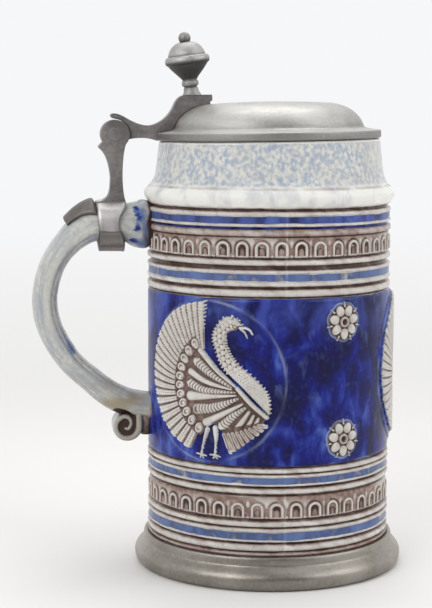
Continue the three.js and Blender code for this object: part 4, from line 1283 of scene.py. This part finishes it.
def cobalt_blue(g, cobalt, clouds, fine, brush):
    """Cobalt as it is brushed on: deep where it is thick, and paler where it runs thin."""
    wide = g.noise(30, 2.0, distortion=0.4, shift=3.3)
    depth = g.math("MULTIPLY_ADD", clouds, 0.15, g.times(wide, 0.35))
    depth = g.math("MULTIPLY_ADD", brush, 0.5, depth)
    stops = [
        (0.0, (0.004, 0.003, 0.045)),
        (0.28, (0.004, 0.004, 0.085)),
        (0.55, (0.006, 0.009, 0.165)),
        (0.80, (0.018, 0.036, 0.27)),
        (1.0, (0.07, 0.12, 0.40)),
    ]
    blue = g.ramp(g.spread(depth, 0.38, 0.64), stops)
    dabs = g.noise(200, 2.0, stretch=(1, 1, 0.55), distortion=0.4, shift=5.2)
    blue = g.tint(blue, dabs, 0.58, 0.80, 0.32, (0.12, 0.18, 0.44))
    # Thinner towards the top of the panel
    high = g.spread(g.split()[2], (PANEL_TOP - 20) * MM, (PANEL_TOP - 3) * MM)
    top = g.times(high, g.spread(brush, 0.28, 0.68))
    blue = g.mix(g.times(top, 0.62), blue, (0.07, 0.10, 0.38))
    blue = g.tint(blue, fine, 0.50, 0.78, 0.2, (0.04, 0.07, 0.28))
    thin = g.times(g.spread(cobalt, 0.62, 0.96, 1.0, 0.0), g.spread(brush, 0.3, 0.6, 0.4, 0.95))
    blue = g.mix(thin, blue, (0.13, 0.19, 0.34))
    halo = g.times(g.mask("halo"), g.spread(brush, 0.3, 0.6, 0.4, 0.8))
    return g.mix(halo, blue, (0.26, 0.32, 0.50))


def salt_glaze(name, streaked=False):
    """Grey clay under salt glaze, with iron brown and cobalt blue, spotted or streaked, and painted shade
    and highlights from its masks.
    """
    material, g, shader = node_material(name)
    cobalt, iron_and_shade = g.mask("cobalt"), g.mask("iron_and_shade")
    clouds = g.noise(32, 3.0, distortion=0.7)
    fine = g.noise(420, 2.0)
    brush = g.noise(120, 4.0, stretch=(1, 1, 0.6), distortion=0.5, shift=0.3)
    if streaked:
        colour = streaks(g)
    else:
        clay = g.mix(g.spread(clouds, 0.35, 0.68), (0.58, 0.56, 0.52), (0.70, 0.69, 0.66))
        clay = g.tint(clay, fine, 0.48, 0.75, 0.4, (0.40, 0.41, 0.46))
        clay = g.tint(clay, g.noise(700, 1.0, shift=1.7), 0.6, 0.72, 0.35, (0.33, 0.25, 0.20))
        colour = crest_and_neck(g, clay, clouds, brush)
    # Iron brown, thin over the ground and dark where it pools; the same mask carries painted shade in
    # recesses, creases and the hollows of the handle
    wash = g.mix(g.spread(fine, 0.3, 0.7), (0.20, 0.13, 0.108), (0.35, 0.26, 0.225))
    brown = g.mix(g.spread(iron_and_shade, 0.6, 1.0), wash, (0.055, 0.032, 0.026))
    iron_and_shade_share = g.times(iron_and_shade, g.spread(clouds, 0.2, 0.8, 0.75, 1.3))
    colour = g.mix(g.spread(iron_and_shade_share, 0.06, 0.62), colour, brown)
    # Cobalt, whose edge runs a little with the brush
    run = g.times(g.times(cobalt, g.math("SUBTRACT", 1.0, cobalt)), 6.0)
    edge = g.math("MULTIPLY_ADD", run, g.math("SUBTRACT", brush, 0.5), cobalt)
    colour = g.mix(g.spread(edge, 0.3, 0.66), colour, cobalt_blue(g, cobalt, clouds, fine, brush))
    peel = g.bump(g.noise(650, 2.0, shift=2.2), 0.00007, 0.7)
    sockets = {
        "Base Color": colour,
        "Roughness": g.spread(clouds, 0.3, 0.7, 0.18, 0.30),
        "IOR": 1.5,
        "Specular IOR Level": 0.2,
        "Normal": g.bump(g.noise(120, 2.0, shift=4.1), 0.0004, 0.5, peel),
    }
    g.feed(shader, sockets)
    return material


def turning_marks(g):
    """Fine rings round the axis of the mug: noise that hardly changes with the angle."""
    x, y, z = g.split()
    turn = g.times(g.math("ARCTAN2", y, x), 0.004)
    place = g.join(g.axis_distance(), z, turn)
    return g.add("TexNoise", {"Vector": place, "Scale": 1400, "Detail": 2.0})["Fac"]


def pewter(name, pale, dark, rough_low, rough_high, marks="cast"):
    """Old pewter: cast, or turned with fine rings; cast pieces aren't masked, the others can be darkened by
    a mask of patina and painted shade.
    """
    material, g, shader = node_material(name)
    clouds = g.noise(48, 3.0, distortion=0.5)
    grain = g.noise(800, 2.0, shift=1.1)
    scratch = g.noise(190, 2.0, stretch=(0.4, 1, 3), shift=2.0)
    tone = g.math("ADD", g.times(clouds, 0.65), g.times(grain, 0.35))
    colour = g.mix(g.spread(tone, 0.36, 0.64), dark, pale)
    if marks != "cast":
        # Darker where masked: painted shade and patina
        colour = g.mix(g.times(g.mask("patina_and_shade"), 0.9), colour, tuple(0.22 * c for c in dark))
    if marks == "turned":
        normal = g.bump(turning_marks(g), 0.00008, 0.6)
    else:
        normal = g.bump(scratch, 0.0001, 0.35)
    sockets = {
        "Base Color": colour,
        "Metallic": 1.0,
        "Roughness": g.spread(scratch, 0.3, 0.7, rough_low, rough_high),
        "Normal": g.bump(grain, 0.00006, 0.5, normal),
    }
    g.feed(shader, sockets)
    return material


def floor_paint():
    """Pale and matt under the object, and melting into the white of the room further away."""
    material, g, shader = node_material("floor_paint")
    tone = g.mix(g.spread(g.noise(3, 1.0), 0.3, 0.7), (0.83, 0.82, 0.805), (0.82, 0.81, 0.795))
    g.feed(shader, {"Base Color": tone, "Roughness": 0.65})
    distance = g.axis_distance()
    direct, mirrored = g.rays()
    seen = g.math("MAXIMUM", direct, g.times(mirrored, 0.6))
    white = g.mix(g.spread(distance, 0.2, 2.2), (0.855, 0.85, 0.84), ROOM_WHITE)
    glow = g.add("Emission", {"Color": white})[0]
    surface = g.choose(g.times(seen, g.spread(distance, 0.12, 0.75)), shader.outputs[0], glow)
    g.feed(g.nodes["Material Output"], {"Surface": surface})
    return material


# Pewter pieces
def foot_ring(material):
    inner = FOOT_RADIUS + FIT_GAP
    top = SHOULDER_HEIGHT - FIT_GAP
    widest, wide_at = inner + 6.3, 4.4
    lip, lip_foot = inner + 2.5, top - 3.4
    outline = [(inner, 0), (inner + 3.0, 0), (inner + 3.5, 0)]
    curve_on(outline, [(widest, 0.2), (widest, wide_at)], 14)
    curve_on(outline, [(widest, wide_at + 3.2), (lip + 0.4, lip_foot - 1.4), (lip, lip_foot)], 22)
    curve_on(outline, [(lip, top), (lip - 0.9, top)], 10)
    outline += [(inner + 0.5, top), (inner, top - 0.4), (inner, 0)]
    angle = turn_angles(RING_SEGMENTS)
    # Painted reflection: the ring darker at its front, which faces the dark part of the room, with a little
    # uneven tone all round
    tone_and_shade = 0.3 * (0.5 - 0.5 * np.sin(angle)) ** 2 + 0.05 * wobble(angle, 0, 2.0, 3)
    patina_and_shade = {"patina_and_shade": np.clip(tone_and_shade, 0, 1)}
    turned_piece("foot_flare", "foot_ring", outline, RING_SEGMENTS, material, masks=patina_and_shade)


def lid_profile():
    """Radius and height, from the middle of the hollow round the flange to the middle of the crown."""
    edge, top = FLANGE_RADIUS, FLANGE_TOP
    shoulder, crown = LID_UNDER + DOME_SHOULDER_RISE, LID_UNDER + DOME_HEIGHT
    flange = [
        (DOME_FOOT - 1, LID_UNDER),
        (edge - 0.6, LID_UNDER),
        (edge, LID_UNDER + 0.5),
        (edge, top - 0.7),
        (edge - 0.25, top),
        (edge - 1.0, top + 0.1),
        (edge - 1.4, top - 0.05),
        (DOME_FOOT + 0.9, top + FLANGE_RISE - 0.35),
        (DOME_FOOT + 0.1, top + FLANGE_RISE + 0.3),
    ]
    rise = [
        (DOME_FOOT, top + FLANGE_RISE + 0.2),
        (DOME_FOOT - 1, LID_UNDER + 0.6 * DOME_HEIGHT),
        (DOME_SHOULDER + 8, shoulder - 0.9),
        (DOME_SHOULDER, shoulder),
    ]
    hollow_side = [
        (DOME_FOOT - 3, LID_UNDER + 0.75 * DOME_HEIGHT - LID_WALL),
        (DOME_FOOT - LID_WALL, LID_UNDER + FLANGE_THICKNESS / 2),
        (DOME_FOOT - 1, LID_UNDER),
    ]
    outline = [(0, crown - LID_WALL)]
    curve_on(outline, [(DOME_SHOULDER / 2, crown - LID_WALL), (DOME_SHOULDER - 1, shoulder - LID_WALL)], 10)
    curve_on(outline, hollow_side, 14)
    outline += rounded(flange, 0.35)[1:] + bezier(rise, 26)[1:]
    curve_on(outline, [(DOME_SHOULDER / 2, crown), (0, crown)], 18)
    return outline


def lid_shell(material):
    profile = lid_profile()
    radius, height = np.array(profile).T
    # Darker on the side of the flange and along the foot of the dome
    side = smoothstep(FLANGE_RADIUS - 0.7, FLANGE_RADIUS - 0.3, radius)
    side *= smoothstep(FLANGE_TOP, FLANGE_TOP - 0.5, height)
    joint = bell(radius - DOME_FOOT, 0.7) * (height > FLANGE_TOP)
    patina_and_shade = {"patina_and_shade": (0.5 * side + 0.3 * joint)[:, None]}
    place = LID_PLACE @ Matrix.Translation((LID_REACH, 0, 0))
    turned_piece("lid_dome", "lid", profile, RING_SEGMENTS, material, place, patina_and_shade)


def upper_surface_floor(x):
    """Least height of the lid's outer face at a distance from the pin, to tell it from the hollow below."""
    radius = LID_REACH - x
    if radius > DOME_FOOT:
        return FLANGE_TOP - 0.5
    dome_rise = DOME_HEIGHT - FLANGE_THICKNESS - FLANGE_RISE
    return FLANGE_TOP + FLANGE_RISE + 0.9 * dome_rise * dome(radius / DOME_FOOT)


def lever_underside(end, gap=0.06):
    """The upper face of the lid, a fitting gap higher, from a distance from the pin back to the edge."""
    found = set()
    for radius, z in lid_profile():
        x = LID_REACH - radius
        if x < end and z > FLANGE_TOP - 0.2 and z + gap > upper_surface_floor(x):
            found.add((round(x, 4), round(z + gap, 4)))
    return sorted(found, reverse=True)


def lever_outline():
    """Beak over the post, arm, pad under the knob, underside along the lid, and heel round the knuckle."""
    edge = LID_REACH - FLANGE_RADIUS
    foot = LID_REACH - DOME_FOOT
    arm_top = FLANGE_TOP + 3.2
    pad_start, pad_end = foot + 5.4, foot + 16.6
    reach = KNUCKLE_RADIUS + TURN_GAP
    outline = [(-0.6, 6.75)]
    curve_on(outline, [(-1.9, 7.1), (-2.1, 8.5), (-0.9, 8.75)], 8)
    curve_on(outline, [(0.8, 9.1), (3.9, 7.4)], 6)
    curve_on(outline, [(0.6 * edge, arm_top - 0.4), (edge - 2.4, arm_top)], 10)
    curve_on(outline, [(edge + 4.3, arm_top + 1.5), (foot + 0.1, PAD_TOP - 4.7)], 10)
    curve_on(outline, [(foot + 1.8, PAD_TOP - 0.5), (pad_start - 0.4, PAD_TOP)], 8)
    outline += [(pad_end - 0.3, PAD_TOP), (pad_end, PAD_TOP - 0.4)]
    under = lever_underside(pad_end)
    notch = under[0][1]
    outline += [(pad_end, notch + 1.5), (pad_end - 1.0, notch + 0.9), (pad_end - 0.8, notch + 0.1)]
    outline += [(x, z) for x, z in under if x < pad_end - 0.9]
    outline += [(edge + 0.5, FLANGE_TOP - 0.3), (edge + 0.5, LID_UNDER + 0.5)]
    outline += [(edge + 0.2, LID_UNDER + 0.05)]
    curve_on(outline, [(0.7 * edge, -1.0), *arc(reach, [-20])], 8)
    return outline + arc(reach, range(-12, 70, 8))


def barrel(name, node, radius, middle, length, material, edge=0.35):
    """A bar along the hinge's axis, with rounded edges."""
    place = PIN_PLACE @ Matrix.Translation((0, middle, 0)) @ Matrix.Rotation(-math.pi / 2, 4, "X")
    profile = pin_profile(radius, length / 2, edge)
    keep_corners(turned_piece(name, node, profile, BAR_SEGMENTS, material, place))


def lid_lever(material):
    slab_piece("lever_arm", "lid_lever", lever_outline(), LEVER_WIDTH, material, LID_PLACE)
    barrel("lever_knuckle", "lid_lever", KNUCKLE_RADIUS - 0.2, 0, MIDDLE_KNUCKLE, material)


def hinge_post(material):
    """An upright with the outer knuckles and a nib at its back, waisted and wider again at its foot."""
    waist, nib_depth, nib_reach, foot = 18.0, 5.5, 7.0, 33.0
    waist_width, foot_widening = 4.3, 2.2
    head = KNUCKLE_RADIUS
    outline = [(4.9, -foot), (4.2, -28.6)]
    curve_on(outline, [(3.1, -waist - 6), (3.1, -waist)], 8)
    curve_on(outline, [(3.1, -head - 2), (0.72 * head, -0.7 * head)], 10)
    outline += arc(head, np.linspace(math.degrees(math.atan2(-0.7, 0.72)), 212, 37))
    outline += [(-nib_reach + 0.5, -nib_depth + 0.9), (-nib_reach, -nib_depth + 0.2)]
    outline += [(-nib_reach + 0.3, -nib_depth - 0.5)]
    curve_on(outline, [(-2.9, -nib_depth - 3.0), (-2.0, -waist)], 12)
    curve_on(outline, [(-2.1, -27.4), (-3.4, -27.8), (-8.2, -28.6)], 12)
    outline += [(-8.4, -foot)]

    def taper(p):
        narrow = float(smoothstep(head, waist - 2, -p.z))
        wide = float(smoothstep(waist + 4, 30, -p.z))
        width = BARREL_HALF + (waist_width - BARREL_HALF) * narrow + foot_widening * wide
        return Vector((p.x, p.y * width / BARREL_HALF, p.z))

    slab_piece("post_upright", "hinge_post", outline, 2 * BARREL_HALF, material, PIN_PLACE, 0.7, taper)


def hinge_pin(material):
    length = 2 * (BARREL_HALF - CAP_THICKNESS) - 0.2
    barrel("pin_shaft", "hinge_pin", PIN_RADIUS, 0, length, material, edge=0.2)
    middle = BARREL_HALF - CAP_THICKNESS / 2 + FIT_GAP
    for name, at in (("right", -middle), ("left", middle)):
        barrel(f"cap_{name}", f"pin_cap_{name}", CAP_RADIUS, at, CAP_THICKNESS, material, edge=0.3)


def thumb_knob(material):
    r = KNOB_RADIUS
    ball, centre = 2.6, 24.1
    foot = [(4.1, -0.5), (4.0, 0.2), (3.4, 1.1), (3.15, 2.0), (3.1, 3.0), (2.7, 3.1)]
    collar = [(2.7, 3.1), (2.7, 3.7), (3.4, 3.8), (3.7, 4.9), (3.4, 6.0), (3.0, 6.1), (3.3, 6.8)]
    profile = [(0, -0.5)] + rounded(foot, 0.5) + rounded(collar, 0.4)[1:]
    curve_on(profile, [(4.6, 8.5), (7.4, 11.1), (r - 1.2, 13.0)], 16)
    curve_on(profile, [(r + 0.2, 13.2), (r + 0.25, 16.2), (r - 1.3, 16.6)], 14)
    profile += rounded([profile[-1], (r - 1.75, 16.7), (r - 1.75, 17.2)], 0.2)[1:]
    curve_on(profile, [(r - 2.6, 20.2), (4.9, 22.1), (2.7, 22.4)], 18)
    profile += rounded([profile[-1], (1.9, 22.6), (1.9, 22.8)], 0.2)[1:]
    profile += arc(ball, np.linspace(-34, 90, 16)[:-1], centre) + [(0, centre + ball)]
    height = np.array([z for _, z in profile])
    # Painted shade under the cup, on the lower half of its rim and under the ball; darker too in the two
    # creases
    under_cup = smoothstep(5.6, 7.0, height) * smoothstep(15.0, 13.6, height)
    under_ball = 0.8 * smoothstep(22.3, 22.5, height) * (1 - 0.7 * smoothstep(22.8, 25.8, height))
    creases = np.maximum(0.8 * bell(height - 3.4, 0.5), 0.6 * bell(height - 16.9, 0.3))
    patina_and_shade = {"patina_and_shade": np.maximum.reduce([under_cup, under_ball, creases])[:, None]}
    stand = Matrix.Translation((LID_REACH - DOME_FOOT + KNOB_INSET, 0, PAD_TOP))
    place = LID_PLACE @ stand @ Matrix.Rotation(-KNOB_LEAN, 4, "Y")
    knob = turned_piece("knob_turned", "thumb_knob", profile, KNOB_SEGMENTS, material, place, patina_and_shade)
    keep_corners(knob, 50)


# Floor, light and camera
def stage():
    mesh = bpy.data.meshes.new("floor")
    half = 3.0  # metres
    corners = [(-half, -half, 0), (half, -half, 0), (half, half, 0), (-half, half, 0)]
    mesh.from_pydata(corners, [], [(0, 1, 2, 3)])
    floor = bpy.data.objects.new("floor", mesh)
    mesh.materials.append(floor_paint())
    bpy.context.scene.collection.objects.link(floor)


def lamp(name, place, size, power):
    """An area light that looks at the middle of the mug; its place and size are in metres."""
    light = bpy.data.lights.new(name, "AREA")
    light.shape = "RECTANGLE"
    light.size, light.size_y = size
    light.energy = power
    lamp_object = bpy.data.objects.new(name, light)
    lamp_object.location = place
    aim = Vector((0, 0, 0.1)) - Vector(place)
    lamp_object.rotation_euler = aim.to_track_quat("-Z", "Y").to_euler()
    bpy.context.scene.collection.objects.link(lamp_object)


def world():
    """A pale room: white to the camera, bright round the horizon and darker overhead and at the front."""
    room = bpy.data.worlds.new("room")
    bpy.context.scene.world = room
    room.use_nodes = True
    room.node_tree.nodes.clear()
    g = Graph(room.node_tree, "Generated")
    _, y, z = g.split()
    level = g.times(g.spread(y, -0.95, 0.25, 0.08, 1.0), g.spread(z, 0.1, 0.9, 1.0, 0.85))
    direct, mirrored = g.rays()
    strength = g.times(level, g.math("ADD", 0.76, g.times(mirrored, 0.24)))
    lit = g.add("Background", {"Color": (1.0, 1.0, 1.0, 1), "Strength": strength})[0]
    white = g.add("Background", {"Color": (*ROOM_WHITE, 1), "Strength": 1.0})[0]
    g.add("OutputWorld", {"Surface": g.choose(direct, lit, white)})


def camera():
    """The camera that took the photo, as fitted to the circles of the mug."""
    place = Vector((-104.2, -722.9, 196.8)) * MM
    heading, down, roll = math.radians(6.4165), math.radians(6.609), math.radians(0.131)
    level = Vector((math.cos(heading), -math.sin(heading), 0))
    ahead = Vector((math.sin(heading), math.cos(heading), 0))
    forward = math.cos(down) * ahead - math.sin(down) * Vector((0, 0, 1))
    upright = level.cross(forward)
    right = math.cos(roll) * level + math.sin(roll) * upright
    up = math.cos(roll) * upright - math.sin(roll) * level
    data = bpy.data.cameras.new("camera")
    data.lens, data.sensor_width, data.sensor_fit = 100.0, 36.0, "AUTO"
    data.clip_start, data.clip_end = 0.01, 20
    viewer = bpy.data.objects.new("camera", data)
    turn = Matrix((right, up, -forward)).transposed().to_4x4()
    viewer.matrix_world = Matrix.Translation(place) @ turn
    bpy.context.scene.collection.objects.link(viewer)
    bpy.context.scene.camera = viewer


def build():
    glaze = salt_glaze("salt_glaze")
    handle_glaze = salt_glaze("handle_glaze", streaked=True)
    bright = pewter("pewter_lid", (0.49, 0.48, 0.462), (0.39, 0.38, 0.363), 0.50, 0.60, "turned")
    ring = pewter("pewter_foot", (0.405, 0.378, 0.34), (0.285, 0.262, 0.228), 0.37, 0.47, "turned")
    knob = pewter("pewter_knob", (0.45, 0.44, 0.43), (0.33, 0.325, 0.315), 0.54, 0.64, "patina_and_shade")
    # The band's pewter in two copies: the saddle's paler, as painted light on its top, and the strap's
    # darker, as painted shade under the handle; the tang uses the strap's
    saddle = pewter("pewter_saddle_lit", (0.65, 0.63, 0.62), (0.51, 0.495, 0.485), 0.44, 0.56, "patina_and_shade")
    strap = pewter("pewter_strap_shaded", (0.22, 0.203, 0.195), (0.145, 0.132, 0.125), 0.42, 0.56)
    dark = pewter("pewter_aged", (0.29, 0.275, 0.27), (0.195, 0.185, 0.18), 0.42, 0.56)
    stoneware_body(glaze)
    frieze("frieze_lower", LOWER_COURSES, SHOULDER_HEIGHT, LOWER_ARCH_PHASE, glaze)
    frieze("frieze_upper", UPPER_COURSES, PANEL_TOP, UPPER_ARCH_PHASE, glaze)
    medallions(glaze)
    rosettes(glaze)
    stoneware_handle(handle_glaze)
    roll_strip(handle_glaze)
    roll_shade_core(handle_glaze)
    joint_clay(handle_glaze)
    foot_ring(ring)
    handle_band(saddle, strap)
    hinge_post(dark)
    hinge_pin(dark)
    lid_shell(bright)
    lid_lever(dark)
    thumb_knob(knob)


camera()
build()
stage()
world()
lamp("key_left", (-0.75, -0.75, 0.75), (0.9, 0.8), 8.0)
lamp("key_right", (0.85, -0.55, 0.65), (1.0, 0.9), 5.8)
lamp("top", (0.1, 0.25, 1.1), (0.8, 0.8), 5)
bpy.context.scene.view_settings.view_transform = "Standard"
